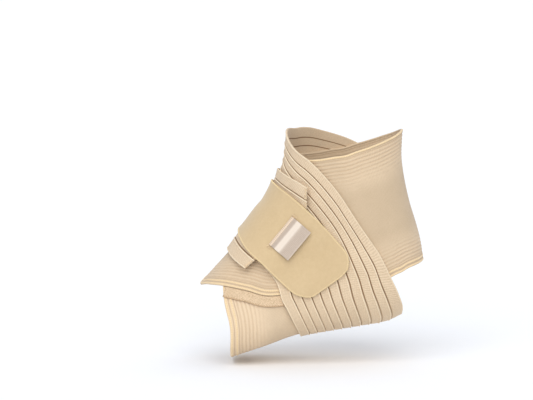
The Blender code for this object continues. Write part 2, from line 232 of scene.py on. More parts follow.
FLAP_ROUTE = (
    (-70, 52.0, 0, 0.91, 0.0),
    (-30, 52.0, 0, 0.91, 0.0),
    (0, 51.9, 0, 0.92, 0.0),
    (25, 52.0, 0, 0.98, 0.0),
    (47, 51.75, 5, 1.07, 0.0),
    (66, 51.3, 6, 1.08, 0.0),
    (81, 51.0, 10, 1.09, 0.0),
    (94, 50.5, 13, 1.09, 0.0),
    (102, 50.0, 18, 1.07, 0.0),
)

print("rows in the strap's route:", len(STRAP_ROUTE))

# %% From shares of a band's length and width to angles on the form
ROUTE_STEPS = 720
ANKLE_BAND_SPAN = 8.0
EVEN_STOPS = 33
STRAP_SPAN = (-118, 418)
FLAP_SPAN = (-70, 102)


def mirrored(route):
    """A route given from the instep to the sole, carried round to the other side."""
    back = [(360 - row[0], row[1], -row[2]) + tuple(row[3:]) for row in route[-2::-1]]
    whole = list(route) + back
    before = [(row[0] - 360,) + tuple(row[1:]) for row in whole[-3:-1]]
    after = [(row[0] + 360,) + tuple(row[1:]) for row in whole[1:3]]
    return tuple(before + whole + after)


def measured_route(route, start, end):
    """Places along a route, and their distances from its start along the middle of the band."""
    places = np.linspace(start, end, ROUTE_STEPS + 1)
    middle = form_points(smooth_column(ROUTE_COLUMNS, route, "fan", places), places)
    run = np.cumsum(np.linalg.norm(np.diff(middle, axis=0), axis=1))
    return places, np.concatenate(([0], run))


def cross_lines(route, width, stops, across, span=ANGLE_STEP):
    """Both angles of the points where cross lines of a band meet its lengthwise lines.

    The size of a degree is measured over `span` degrees to each side of the band's middle.
    """
    read = {name: smooth_column(ROUTE_COLUMNS, route, name, stops) for name in ROUTE_COLUMNS[1:]}
    middle = read["fan"]
    chord = form_points(middle + span, stops) - form_points(middle - span, stops)
    fan_unit = np.linalg.norm(chord, axis=-1) / (2 * span)
    around_unit = np.linalg.norm(form_steps(middle, stops)[1], axis=-1)
    lean = np.radians(read["lean"])
    offset = across * width * read["width"][:, None]
    fan = middle[:, None] + offset * (np.cos(lean) / fan_unit)[:, None]
    around = stops[:, None] + offset * (np.sin(lean) / around_unit)[:, None]
    return fan, around, read["slack"][:, None] + 0 * fan


def even_across(route, width, stops, across, span):
    """Shares across a band, moved so that they divide each cross line evenly on the form."""
    dense = np.linspace(-0.5, 0.5, EVEN_STOPS)
    fan, around, _ = cross_lines(route, width, stops, dense[None, :], span)
    steps = np.linalg.norm(np.diff(form_points(fan, around), axis=1), axis=-1)
    reached = np.concatenate((np.zeros((len(stops), 1)), np.cumsum(steps, axis=1)), axis=1)
    reached = reached / reached[:, -1:] - 0.5
    across = np.broadcast_to(across, (len(stops), np.shape(across)[-1]))
    return np.stack([np.interp(row, known, dense) for row, known in zip(across, reached)])


def route_angles(route, width, start, end, length=None, span=ANGLE_STEP):
    """The function from shares to angles for a band on a route, and the band's length.

    Where the span is wide, the lengthwise lines are also spaced evenly on the form.
    """
    places, run = measured_route(route, start, end)
    length = length or run[-1]

    def angles(along, across):
        stops = np.interp(run[-1] - length + along * length, run, places)
        if span > ANGLE_STEP:
            across = even_across(route, width, stops, across, span)
        return cross_lines(route, width, stops, across, span)

    return angles, length


ankle_angles, ankle_length = route_angles(mirrored(ANKLE_BAND_ROUTE), ANKLE_BAND_WIDTH, 0, 360,
                                          span=ANKLE_BAND_SPAN)
foot_angles, foot_length = route_angles(mirrored(FOOT_BAND_ROUTE), FOOT_BAND_WIDTH, 0, 360)
strap_angles, strap_length = route_angles(STRAP_ROUTE, STRAP_WIDTH, *STRAP_SPAN)
flap_angles, _ = route_angles(FLAP_ROUTE, FLAP_WIDTH, *FLAP_SPAN, FLAP_LENGTH)
print("worn lengths in mm: ankle band", round(ankle_length * 1000), "foot band",
      round(foot_length * 1000), "strap", round(strap_length * 1000))

# %% The joining strips and the label have no route of their own
STRIP_START = 53
STRIP_END = 101
STRIP_STEP = 0.2
LABEL_FAN_ANGLE = 50.8
LABEL_AROUND_ANGLE = 62.0
LABEL_TURN_ANGLE = -18.5
LABEL_STANDS_OFF = 0.011
LABEL_SEARCH_STEPS = 6


def lifted_points(fan, around, height):
    """Points at a height above the form."""
    return form_points(fan, around) + form_steps(fan, around)[2] * height


def strip_angles(side):
    """Shares to angles for a strip that walks off the ankle band's lower front edge."""
    route = mirrored(ANKLE_BAND_ROUTE)
    places, run = measured_route(route, STRIP_START, STRIP_END)

    def edge(stops):
        share = np.array([[0.5]])
        fan, around, _ = cross_lines(route, ANKLE_BAND_WIDTH, stops, share, ANKLE_BAND_SPAN)
        return fan[:, 0], around[:, 0]

    def angles(along, across):
        share = along if side == "outer" else 1 - along
        stops = np.interp(share * run[-1], run, places)
        fan, around = edge(stops)
        along_fan, along_around, normal = form_steps(fan, around)
        tangent = form_points(*edge(stops + STRIP_STEP)) - form_points(*edge(stops - STRIP_STEP))
        outward = np.cross(normal, tangent)
        outward /= np.linalg.norm(outward, axis=-1, keepdims=True)
        outward *= np.sign(np.sum(outward * along_fan, axis=-1)).mean()
        steps = np.stack([along_fan, along_around], axis=-1)
        turn = np.einsum("nij,nj->ni", np.linalg.pinv(steps), outward)
        distance = BUTT_GAP + (across + 0.5) * JOINING_STRIP_WIDTH
        fan = fan[:, None] + turn[:, :1] * distance
        around = around[:, None] + turn[:, 1:] * distance
        if side == "inner":
            around = 360 - around
        return fan, around, 0 * fan

    return angles, run[-1]


def label_angles(along, across):
    """Shares to angles for the label, which is laid out flat over the flap at its middle."""
    fan, around, height = LABEL_FAN_ANGLE, LABEL_AROUND_ANGLE, LABEL_STANDS_OFF
    middle = lifted_points(fan, around, height)
    along_fan, _, normal = form_steps(fan, around)
    down = along_fan / np.linalg.norm(along_fan)
    side = np.cross(normal, down)
    turn = math.radians(LABEL_TURN_ANGLE)
    axes = (side * math.sin(turn) - down * math.cos(turn), side * math.cos(turn) + down * math.sin(turn))
    lengthwise, crosswise = np.broadcast_arrays((along[:, None] - 0.5) * LABEL_LENGTH, across * LABEL_WIDTH)
    wanted = middle + lengthwise[..., None] * axes[0] + crosswise[..., None] * axes[1]
    fan = fan + 0 * lengthwise
    around = around + 0 * lengthwise
    step = 10 * ANGLE_STEP
    for _ in range(LABEL_SEARCH_STEPS):
        here = lifted_points(fan, around, height)
        more_fan = (lifted_points(fan + step, around, height) - here) / step
        more_around = (lifted_points(fan, around + step, height) - here) / step
        moves = np.stack([np.stack([more_fan @ axis, more_around @ axis], axis=-1) for axis in axes], axis=-2)
        miss = np.stack([(wanted - here) @ axis for axis in axes], axis=-1)
        change = np.linalg.solve(moves, miss[..., None])[..., 0]
        fan = fan + change[..., 0]
        around = around + change[..., 1]
    return fan, around, 0 * fan


outer_strip_angles, strip_length = strip_angles("outer")
inner_strip_angles, _ = strip_angles("inner")
print("joining strip in mm:", round(strip_length * 1000), "by", JOINING_STRIP_WIDTH * 1000)

# %% [markdown]
# ## Laying one band over another
#
# Real cloth rests on whatever is under it. Here that is found with rays: from each cell of a
# coarse grid, rays are shot inwards, and where they meet a band that is already laid, the new one
# is lifted over it. The heights are then spread and averaged a little, because elastic bridges a
# step and doesn't follow it sharply. A coarse grid is enough for that. The fine surface is read
# from it afterwards with a smooth curve.

# %% Heights over what lies beneath
PROBES_PER_CELL = 3
PROBE_FROM = ANKLE_DEPTH / 3


def in_cells(values, s, t):
    """A grid's values at one place in each of its cells, as shares of the cell's two sides."""
    near = values[:-1, :-1] * (1 - s) + values[1:, :-1] * s
    far = values[:-1, 1:] * (1 - s) + values[1:, 1:] * s
    return near * (1 - t) + far * t


def height_above(points, normals, obstacles, closed):
    """Height at each grid point that keeps its cells clear of every obstacle beneath them."""
    if closed:
        points = np.concatenate((points, points[:1]))
        normals = np.concatenate((normals, normals[:1]))
    highest = np.zeros((points.shape[0] - 1, points.shape[1] - 1))
    steps = np.linspace(0, 1, PROBES_PER_CELL + 1)
    for s, t in [(s, t) for s in steps for t in steps]:
        spots = in_cells(points, s, t)
        outward = in_cells(normals, s, t)
        for cell in np.ndindex(highest.shape):
            away = Vector(outward[cell]).normalized()
            origin = Vector(spots[cell]) + away * PROBE_FROM
            for tree in obstacles:
                distance = tree.ray_cast(origin, -away, PROBE_FROM)[3]
                if distance is not None:
                    highest[cell] = max(highest[cell], PROBE_FROM - distance + LAYER_GAP)
    if closed:
        highest = np.concatenate((highest[-1:], highest))
    else:
        highest = np.pad(highest, ((1, 1), (0, 0)))
    highest = np.pad(highest, ((0, 0), (1, 1)))
    corners = (highest[:-1, :-1], highest[1:, :-1], highest[:-1, 1:], highest[1:, 1:])
    return np.max(np.stack(corners), axis=0)


def spread(values, rows, columns, closed, pick):
    """Each value replaced by the largest, or the mean, of those near it in the grid."""
    result = values
    for axis, reach in ((0, rows), (1, columns)):
        wrap = "wrap" if closed and axis == 0 else "edge"
        pad = [(0, 0), (0, 0)]
        pad[axis] = (reach, reach)
        padded = np.pad(result, pad, mode=wrap)
        size = result.shape[axis]
        near = [np.take(padded, range(k, k + size), axis=axis) for k in range(2 * reach + 1)]
        result = pick(np.stack(near), axis=0)
    return result


def settled(height, closed):
    """Heights as elastic takes them: raised round each step, then averaged."""
    return spread(spread(height, 1, 2, closed, np.max), 1, 2, closed, np.mean)


def smooth_weights(position, count, closed):
    """Share of each coarse value in a smooth curve that is read at each position."""
    cell = np.floor(position).astype(int)
    if not closed:
        cell = np.clip(cell, 0, count - 2)
    t = position - cell
    shares = (
        -0.5 * t + t ** 2 - 0.5 * t ** 3,
        1 - 2.5 * t ** 2 + 1.5 * t ** 3,
        0.5 * t + 2 * t ** 2 - 1.5 * t ** 3,
        -0.5 * t ** 2 + 0.5 * t ** 3,
    )
    weights = np.zeros(position.shape + (count,))
    places = np.indices(position.shape)
    for offset, share in enumerate(shares, start=-1):
        near = (cell + offset) % count if closed else np.clip(cell + offset, 0, count - 1)
        np.add.at(weights, (*places, near), share)
    return weights


print("rays in each coarse cell:", (PROBES_PER_CELL + 1) ** 2)

# %% One laid band
class Laid:
    """A band in its place: its inner face, at any share of its length and width."""

    def __init__(self, angles, size, thickness, counts, below, closed=False):
        self.angles = angles
        self.length, self.width = size
        self.thickness = thickness
        self.closed = closed
        self.rows, columns = counts
        along = np.linspace(0, 1, self.rows + 1)
        self.coarse_along = along[:-1] if closed else along
        self.coarse_across = np.linspace(-0.5, 0.5, columns + 1)[None, :]
        fan, around, _ = angles(self.coarse_along, self.coarse_across)
        self.points = form_points(fan, around)
        self.normals = form_steps(fan, around)[2]
        self.need = height_above(self.points, self.normals, below, closed)
        self.height = settled(self.need, closed)

    def face(self, along, across):
        """Points of the inner face, and the outward direction."""
        across = np.broadcast_to(across, (len(along), np.shape(across)[-1]))
        fan, around, slack = self.angles(along, across)
        count, columns = self.height.shape
        by_row = smooth_weights(along * self.rows, count, self.closed)
        by_column = smooth_weights((across + 0.5) * (columns - 1), columns, False)
        height = np.einsum("ai,ij,amj->am", by_row, self.height, by_column)
        height = np.maximum(height, 0) + slack * self.thickness
        away = form_steps(fan, around)[2]
        return form_points(fan, around) + away * height[..., None], away


def solids(*names):
    """Search trees of packed solids that a band is laid over."""
    depsgraph = bpy.context.evaluated_depsgraph_get()
    return [BVHTree.FromObject(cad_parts[name], depsgraph) for name in names]


foot_laid = Laid(foot_angles, (foot_length, FOOT_BAND_WIDTH), FOOT_BAND_THICKNESS, (40, 11), [], True)
ankle_laid = Laid(ankle_angles, (ankle_length, ANKLE_BAND_WIDTH), ANKLE_BAND_THICKNESS, (50, 14),
                  solids("foot_band"), True)
strips_laid = {
    side: Laid(angles, (strip_length, JOINING_STRIP_WIDTH), JOINING_STRIP_THICKNESS, (14, 2),
               solids("foot_band"))
    for side, angles in (("outer", outer_strip_angles), ("inner", inner_strip_angles))
}
print("ankle band stands off the form by up to", round(ankle_laid.height.max() * 1000, 2), "mm")

# %% [markdown]
# ## The strap goes over itself
#
# The strap passes the instep twice, so its second pass also has to clear its first one. The first
# pass is turned into a bare grid and used as one more thing to lie on.

# %% Lay the strap, the flap and the label
FIRST_PASS_END = 170
SECOND_PASS_START = 205
STRAP_UNDER = ("foot_band", "ankle_band", "joining_strip_outer", "joining_strip_inner")
EAR_LENGTH = 0.016
EAR_LIFT = 0.0021
EAR_FROM = 0.26
EAR_RISE = 0.16


def with_lifted_ears(along, across):
    """The strap's angles, with the two corners of its free end lifted off what they lie on."""
    fan, around, slack = strap_angles(along, across)
    near_end = eased(1 - (1 - along) * strap_length / EAR_LENGTH)
    near_edge = eased((np.abs(across) - EAR_FROM) / EAR_RISE)
    return fan, around, slack + near_end[:, None] * near_edge * EAR_LIFT / STRAP_THICKNESS


def grid_tree(grid):
    """Search tree of a bare grid of points."""
    rows, columns = grid.shape[:2]
    corner = np.arange(rows * columns).reshape(rows, columns)
    cells = np.stack((corner[:-1, :-1], corner[:-1, 1:], corner[1:, 1:], corner[1:, :-1]), axis=-1)
    return BVHTree.FromPolygons([Vector(p) for p in grid.reshape(-1, 3)], cells.reshape(-1, 4).tolist())


strap_laid = Laid(with_lifted_ears, (strap_length, STRAP_WIDTH), STRAP_THICKNESS, (58, 22),
                  solids(*STRAP_UNDER))
places, run = measured_route(STRAP_ROUTE, *STRAP_SPAN)
coarse_stops = np.interp(strap_laid.coarse_along * run[-1], run, places)
first = coarse_stops <= FIRST_PASS_END
second = coarse_stops >= SECOND_PASS_START
first_height = strap_laid.height[first] + STRAP_THICKNESS + RIB_HEIGHT
first_outer = strap_laid.points[first] + strap_laid.normals[first] * first_height[..., None]
crossing = height_above(strap_laid.points[second], strap_laid.normals[second],
                        [grid_tree(first_outer)], False)
strap_laid.need[second] = np.maximum(strap_laid.need[second], crossing)
strap_laid.height = settled(strap_laid.need, False)

flap_laid = Laid(flap_angles, (FLAP_LENGTH, FLAP_WIDTH), FLAP_THICKNESS, (18, 8),
                 solids(*STRAP_UNDER, "cross_strap"))
label_laid = Laid(label_angles, (LABEL_LENGTH, LABEL_WIDTH), LABEL_THICKNESS, (7, 6),
                  solids("closure_flap"))
print("strap's second pass stands off by", round(strap_laid.height[second].max() * 1000, 2), "mm")

# %% [markdown]
# ## A cloth wall with soft edges
#
# A band could be a flat sheet with a Solidify modifier, but elastic has rounded edges, which show
# as a soft light line. So the wall is built as two grids, an outer and an inner one, that close
# towards each other in a quarter round over the last half millimetre. Each wall carries a UV map
# in metres, along and across the band, so that the weave keeps its size everywhere, and three
# attributes for the relief trees: how far a point is across the band, whether it lies on the
# outer face, and which way is out.

# %% Build a wall from a laid band
EDGE_LINES = (0.0, 0.00012, 0.00035, 0.0007)
EDGE_CLEAR = 0.0011
BLUNT_EDGE = 0.25


def soft_edge(distance, radius):
    """Share of the wall's thickness at a distance from its edge, as a quarter round."""
    into = 1 - np.clip(distance / radius, 0, 1)
    return np.maximum(np.sqrt(1 - into ** 2), BLUNT_EDGE)


EDGE_LOOK_IN = 0.05
EDGE_FINENESS = 8
UPPER_RULE_ENDS = 0.35
LOWER_RULE_TAKES = 0.3


def lower_edge_slope(laid, along):
    """How far one leaves the lower edge of a loop for each metre across it."""
    here = laid.face(along, np.array([[0.5]]))[0][:, 0]
    inside = laid.face(along, np.array([[0.5 - EDGE_LOOK_IN]]))[0][:, 0]
    tangent = np.roll(here, -1, axis=0) - np.roll(here, 1, axis=0)
    tangent /= np.linalg.norm(tangent, axis=1, keepdims=True)
    step = inside - here
    step -= tangent * np.sum(step * tangent, axis=1, keepdims=True)
    return np.linalg.norm(step, axis=1) / (EDGE_LOOK_IN * laid.width)


def distance_from_edge(laid, along, face, edge):
    """Distances of the points of a loop's face from one of its edges."""
    fine = np.linspace(0, 1, len(along) * EDGE_FINENESS + 1)[:-1]
    line = laid.face(fine, np.array([[edge]]))[0][:, 0]
    tree = KDTree(len(line))
    for number, point in enumerate(line):
        tree.insert(point, number)
    tree.balance()
    found = [tree.find(point)[2] for point in face.reshape(-1, 3)]
    return np.array(found).reshape(face.shape[:2])


def square_to_edges(laid, along, face, across):
    """Distances across a loop, measured square to the nearer edge, for ribs that keep to it."""
    upper, lower = (distance_from_edge(laid, along, face, edge) for edge in (-0.5, 0.5))
    into = eased((across / laid.width - UPPER_RULE_ENDS) / LOWER_RULE_TAKES)
    return (1 - into) * upper + into * (laid.width - lower)


def cloth_wall(name, laid, along, across, keep=None, square=False):
    """A closed wall on a laid band.

    `keep` narrows it row by row, as for rounded corners. `square` measures square to its edges.
    """
    keep = np.ones(len(along)) if keep is None else keep
    share = np.asarray(across)[None, :] * keep[:, None]
    face, away = laid.face(along, share)
    sideways = (keep[:, None] / 2 - np.abs(share)) * laid.width
    full = soft_edge(sideways, laid.thickness * 0.5)
    run = along * laid.length
    if not laid.closed:
        endways = np.minimum(run, laid.length - run)[:, None]
        full = np.minimum(full, soft_edge(endways, laid.thickness * 0.5))
    outer = face + away * (laid.thickness * (0.5 + 0.5 * full))[..., None]
    inner = face + away * (laid.thickness * (0.5 - 0.5 * full))[..., None]
    across = (share + 0.5) * laid.width
    if square:
        across = square_to_edges(laid, along, face, across)
    return two_faces(name, outer, inner, run, across, away, laid)


def two_faces(name, outer, inner, run, across, away, laid):
    """The mesh between an outer and an inner grid, with its UV map and attributes."""
    rows, columns = outer.shape[:2]
    size = rows * columns
    last = rows if laid.closed else rows - 1
    i, j = np.meshgrid(np.arange(last), np.arange(columns - 1), indexing="ij")
    i, j = i.ravel(), j.ravel()
    row = np.stack((i, i, i + 1, i + 1), axis=-1)
    column = np.stack((j, j + 1, j + 1, j), axis=-1)
    blocks = [(row, column, 0 * row), (row[:, ::-1], column[:, ::-1], 1 + 0 * row)]
    i = np.arange(last)
    up_down = np.array([0, 0, 1, 1])[None, :]
    for edge, order in ((0, (0, 1, 1, 0)), (columns - 1, (1, 0, 0, 1))):
        row = i[:, None] + np.array(order)[None, :]
        blocks.append((row, edge + 0 * row, up_down + 0 * row))
    if not laid.closed:
        j = np.arange(columns - 1)
        for edge, order in ((0, (1, 0, 0, 1)), (rows - 1, (0, 1, 1, 0))):
            column = j[:, None] + np.array(order)[None, :]
            blocks.append((edge + 0 * column, column, up_down + 0 * column))
    row, column, under = (np.concatenate([block[k] for block in blocks]) for k in range(3))
    faces = (row % rows) * columns + column + under * size

    mesh = bpy.data.meshes.new(name)
    points = np.concatenate((outer.reshape(-1, 3), inner.reshape(-1, 3)))
    mesh.from_pydata(points.tolist(), [], faces.tolist())
    u = np.append(run, laid.length)[row]
    v = np.concatenate((across, across[:1]))[row, column]
    uv = mesh.uv_layers.new(name="cloth")
    uv.data.foreach_set("uv", np.stack((u, v), axis=-1).ravel())
    around_sheet = {
        "across": np.concatenate((across.ravel(), across.ravel())),
        "outer": np.repeat([1.0, 0.0], size),
    }
    for key, values in around_sheet.items():
        mesh.attributes.new(key, "FLOAT", "POINT").data.foreach_set("value", values)
    out = mesh.attributes.new("out", "FLOAT_VECTOR", "POINT")
    out.data.foreach_set("vector", np.concatenate((away.reshape(-1), away.reshape(-1))))
    mesh.shade_smooth()
    return mesh


def width_lines(width, zones):
    """Shares across a band for its lengthwise lines: each zone is (start, end, spacing)."""
    lines = list(EDGE_LINES) + [width - value for value in EDGE_LINES]
    for start, end, spacing in zones:
        lines += list(np.arange(max(start, EDGE_CLEAR), min(end, width - EDGE_CLEAR), spacing))
    return np.unique(np.round(np.array(lines) / width - 0.5, 7))


print("soft edge in the middle of its round:", round(float(soft_edge(0.5, 1.0)), 3))

# %% [markdown]
# ## Expressions instead of wires
#
# Node trees for relief, stitches and finishes hold a lot of arithmetic. A small class makes that
# readable: a Wire is one output socket, and adding or multiplying wires adds Math nodes. All
# other nodes come from one method, `add`, which takes the node's type, its settings, and the
# values or wires for its sockets.

# %% The Wire and Graph classes
class Wire:
    """One output socket. Arithmetic on wires adds Math nodes to its tree."""

    def __init__(self, graph, socket):
        self.graph = graph
        self.socket = socket

    def math(self, operation, *others):
        return self.graph.add("ShaderNodeMath", {"operation": operation}, dict(enumerate((self, *others))))

    def __add__(self, other):
        return self.math("ADD", other)

    def __sub__(self, other):
        return self.math("SUBTRACT", other)

    def __mul__(self, other):
        return self.math("MULTIPLY", other)

    def __truediv__(self, other):
        return self.math("DIVIDE", other)

    def __rsub__(self, other):
        return self.graph.add("ShaderNodeMath", {"operation": "SUBTRACT"}, {0: other, 1: self})

    def __rtruediv__(self, other):
        return self.graph.add("ShaderNodeMath", {"operation": "DIVIDE"}, {0: other, 1: self})

    __radd__ = __add__
    __rmul__ = __mul__

    def abs(self):
        return self.math("ABSOLUTE")

    def beside(self, name):
        """Another output of the same node."""
        return Wire(self.graph, self.socket.node.outputs[name])

    def wave(self):
        """A cosine ripple from 0 to 1, with one crest for each whole number."""
        return (self * (2 * math.pi)).math("COSINE") * 0.5 + 0.5

    def ease(self, low, high):
        """0 below `low` and 1 above `high`, with a smooth step between them."""
        values = {"Value": self, "From Min": low, "From Max": high}
        return self.graph.add("ShaderNodeMapRange", {"interpolation_type": "SMOOTHSTEP"}, values)

    def line(self, centre, half_width):
        """1 at a centre, and 0 from half a width away."""
        return 1 - (self - centre).abs().ease(half_width * 0.35, half_width)


class Graph:
    """A node tree, for shaders and for geometry."""

    def __init__(self, tree):
        self.tree = tree

    def add(self, kind, settings=None, values=None, take=0):
        node = self.tree.nodes.new(kind)
        for name, setting in (settings or {}).items():
            setattr(node, name, setting)
        for name, value in (values or {}).items():
            if isinstance(value, Wire):
                self.tree.links.new(value.socket, node.inputs[name])
            else:
                node.inputs[name].default_value = value
        return Wire(self, node.outputs[take])

    def mix(self, factor, first, second):
        """A colour between two colours."""
        settings = {"data_type": "RGBA"}
        return self.add("ShaderNodeMix", settings, {0: factor, 6: first, 7: second}, take=2)

    def named(self, name, kind="FLOAT"):
        """A named attribute of the mesh, in a geometry tree."""
        return self.add("GeometryNodeInputNamedAttribute", {"data_type": kind}, {"Name": name})

    def noise(self, vector, scale, detail=2.0, roughness=0.5):
        values = {"Vector": vector, "Scale": scale, "Detail": detail, "Roughness": roughness}
        return self.add("ShaderNodeTexNoise", {}, values)


print("a wire knows:", [name for name in vars(Wire) if not name.startswith("_")])

# %% [markdown]
# ## Running a geometry tree once
#
# A Geometry Nodes tree is a recipe with named inputs. It is put on a source mesh as a modifier,
# its inputs are set before it is first evaluated, and the result is kept as a plain mesh, so the
# piece needs no modifier.

# %% New tree, and its result as a piece
def geometry_graph(name, inputs):
    """A tree with a geometry input and output and the named inputs, and their wires."""
    tree = bpy.data.node_groups.new(name, "GeometryNodeTree")
    tree.interface.new_socket(name="Geometry", in_out="INPUT", socket_type="NodeSocketGeometry")
    for label, kind in inputs.items():
        tree.interface.new_socket(name=label, in_out="INPUT", socket_type="NodeSocket" + kind)
    tree.interface.new_socket(name="Geometry", in_out="OUTPUT", socket_type="NodeSocketGeometry")
    graph = Graph(tree)
    entry = tree.nodes.new("NodeGroupInput")
    wires = {socket.name: Wire(graph, socket) for socket in entry.outputs if socket.name}
    return graph, wires


def close_graph(graph, geometry, material):
    """Ends a tree: real faces, shaded smooth, with a material."""
    smooth = graph.add("GeometryNodeSetShadeSmooth", {}, {"Geometry": geometry})
    real = graph.add("GeometryNodeRealizeInstances", {}, {0: smooth})
    done = graph.add("GeometryNodeSetMaterial", {}, {"Geometry": real, "Material": material})
    exit_node = graph.tree.nodes.new("NodeGroupOutput")
    graph.tree.links.new(done.socket, exit_node.inputs[0])
    return graph.tree


def linked(name, data):
    """A new object in the scene."""
    made = bpy.data.objects.new(name, data)
    bpy.context.scene.collection.objects.link(made)
    return made


pieces = {}


def keep_piece(name, mesh, material=None):
    """Makes a piece of a plain mesh, and says how large it is."""
    mesh.name = name
    if material:
        mesh.materials.append(material)
    pieces[name] = linked(name, mesh)
    print(name, "has", sum(len(face.vertices) - 2 for face in mesh.polygons), "triangles")


def run_tree(name, mesh, tree, inputs):
    """Runs a tree on a mesh and keeps the result as a piece."""
    source = linked(name + "_source", mesh)
    modifier = source.modifiers.new("nodes", "NODES")
    modifier.node_group = tree
    for item in tree.interface.items_tree:
        if item.item_type == "SOCKET" and item.in_out == "INPUT" and item.name in inputs:
            modifier[item.identifier] = inputs[item.name]
    bpy.context.view_layer.update()
    depsgraph = bpy.context.evaluated_depsgraph_get()
    evaluated = source.evaluated_get(depsgraph)
    plain = bpy.data.meshes.new_from_object(evaluated, preserve_all_data_layers=True, depsgraph=depsgraph)
    source.modifiers.clear()
    bpy.data.objects.remove(source)
    keep_piece(name, plain)


# %% [markdown]
# ## Ribs by rule
#
# Elastic gets its ribs from rubber threads: near the edges of the loops they lie close together
# and the cloth between them sinks, and towards the middle they fade out. That is a rule on one
# number, the distance from the edge, so a tree can press it into the wall. The strap follows
# another rule: eleven flat strips with a narrow groove between each two.

# %% Tree: ribs that fade away from the edges of a loop
GROOVE_SHARPNESS = 1.6


def ribs_from_edge(distance, start, pitch, count):
    """Depth of the grooves from 0 to 1, at a distance from an edge."""
    inside = distance.ease(start - 0.4 * MM, start)
    fade = 1 - distance.ease(start + pitch * 2, start + pitch * count)
    groove = (1 - ((distance - start) / pitch).wave()).math("POWER", GROOVE_SHARPNESS)
    return groove * inside * fade


def press(graph, wires, depth):
    """Moves the outer face inwards by a depth, with a slow unevenness, and ends the tree."""
    place = graph.add("GeometryNodeInputPosition")
    lift = (graph.noise(place, 55.0) - 0.5) * wires["Unevenness"] - graph.named("outer") * depth
    out = graph.named("out", "FLOAT_VECTOR")
    offset = graph.add("ShaderNodeVectorMath", {"operation": "SCALE"}, {0: out, "Scale": lift})
    moved = graph.add("GeometryNodeSetPosition", {}, {"Geometry": wires["Geometry"], "Offset": offset})
    return close_graph(graph, moved, wires["Material"])


def loop_ribs_tree():
    inputs = {"Width": "Float", "Rib Depth": "Float", "Unevenness": "Float", "Material": "Material"}
    for side in ("Upper", "Lower"):
        inputs.update({side + " Start": "Float", side + " Pitch": "Float", side + " Ribs": "Float"})
    graph, wires = geometry_graph("loop_ribs", inputs)
    across = graph.named("across")
    grooves = 0.0
    for side, distance in (("Upper", across), ("Lower", wires["Width"] - across)):
        sizes = [wires[side + " " + word] for word in ("Start", "Pitch", "Ribs")]
        grooves = ribs_from_edge(distance, *sizes) + grooves
    return press(graph, wires, grooves * wires["Rib Depth"])


loop_ribs = loop_ribs_tree()
print("inputs of the rib tree:", [item.name for item in loop_ribs.interface.items_tree])

# %% Tree: the strap's strips, with a groove between each two
def strap_ribs_tree():
    inputs = {"First Strip": "Float", "Strip": "Float", "Grooves": "Float", "Groove Half Width": "Float",
              "Groove Depth": "Float", "Crown": "Float", "Unevenness": "Float", "Material": "Material"}
    graph, wires = geometry_graph("strap_ribs", inputs)
    place = (graph.named("across") - wires["First Strip"]) / wires["Strip"]
    nearest = place.math("ROUND").math("MAXIMUM", 0.0).math("MINIMUM", wires["Grooves"] - 1)
    distance = ((place - nearest) * wires["Strip"]).abs()
    groove = 1 - (distance / wires["Groove Half Width"]).ease(0.25, 1.0)
    crown = (place - nearest).abs().math("MINIMUM", 0.5) * 2
    sunk = (1 - crown) * (1 - crown) * wires["Crown"]
    return press(graph, wires, groove * wires["Groove Depth"] + sunk)


strap_ribs = strap_ribs_tree()
print("inputs of the strap tree:", [item.name for item in strap_ribs.interface.items_tree])

# %% [markdown]
# ## Cords and stitches on guide lines
#
# Bright cords run along some edges and beside each groove of the strap; those beside the grooves are
# also made light as a painted highlight on each strip's rolled edge. A guide line is traced on the
# laid band, and a tree sweeps a small round section along it. Stitches are many and alike, so a second
# tree sets one small bead-shaped stitch at even steps along a guide line, turned with the line and
# with the cloth beneath it.

# %% Guide lines on a laid band
def guide_mesh(name, runs):
    """Lines as a mesh of edges. Each run is (points, outward directions, closed)."""
    points, outs, edges = [], [], []
    for line, away, closed in runs:
        first = len(points)
        points += [tuple(p) for p in line]
        outs += [tuple(p) for p in away]
        edges += [(first + k, first + k + 1) for k in range(len(line) - 1)]
        if closed:
            edges.append((first + len(line) - 1, first))
    mesh = bpy.data.meshes.new(name)
    mesh.from_pydata(points, edges, [])
    up = mesh.attributes.new("up", "FLOAT_VECTOR", "POINT")
    up.data.foreach_set("vector", np.array(outs).ravel())
    return mesh


def trace(laid, along, across, lift):
    """One run on a laid band, `lift` metres above its outer face."""
    along, across = np.broadcast_arrays(np.asarray(along, dtype=float), np.asarray(across, dtype=float))
    face, away = laid.face(along, across[:, None])
    return face[:, 0] + away[:, 0] * (laid.thickness + lift), away[:, 0], laid.closed


ankle_rows = np.linspace(0, 1, 221)[:-1]
foot_rows = np.linspace(0, 1, 181)[:-1]
strap_rows = np.linspace(0, 1, 261)
print("length of one strap row in mm:", round(strap_length / 260 * 1000, 2))

# %% Tree: cords swept along guide lines
def cords_tree():
    inputs = {"Radius": "Float", "Sides": "Int", "Material": "Material"}
    graph, wires = geometry_graph("cords", inputs)
    curve = graph.add("GeometryNodeMeshToCurve", {}, {"Mesh": wires["Geometry"]})
    length = graph.add("GeometryNodeSplineParameter", take=1)
    curve = graph.add("GeometryNodeStoreNamedAttribute", {"data_type": "FLOAT", "domain": "POINT"},
                      {"Geometry": curve, "Name": "run", "Value": length})
    section = graph.add("GeometryNodeCurvePrimitiveCircle", {},
                        {"Resolution": wires["Sides"], "Radius": wires["Radius"]})
    turn = graph.add("GeometryNodeSplineParameter")
    section = graph.add("GeometryNodeStoreNamedAttribute", {"data_type": "FLOAT", "domain": "POINT"},
                        {"Geometry": section, "Name": "turn", "Value": turn})
    values = {"Curve": curve, "Profile Curve": section, "Fill Caps": True}
    return close_graph(graph, graph.add("GeometryNodeCurveToMesh", {}, values), wires["Material"])


cords = cords_tree()
print("inputs of the cord tree:", [item.name for item in cords.interface.items_tree])

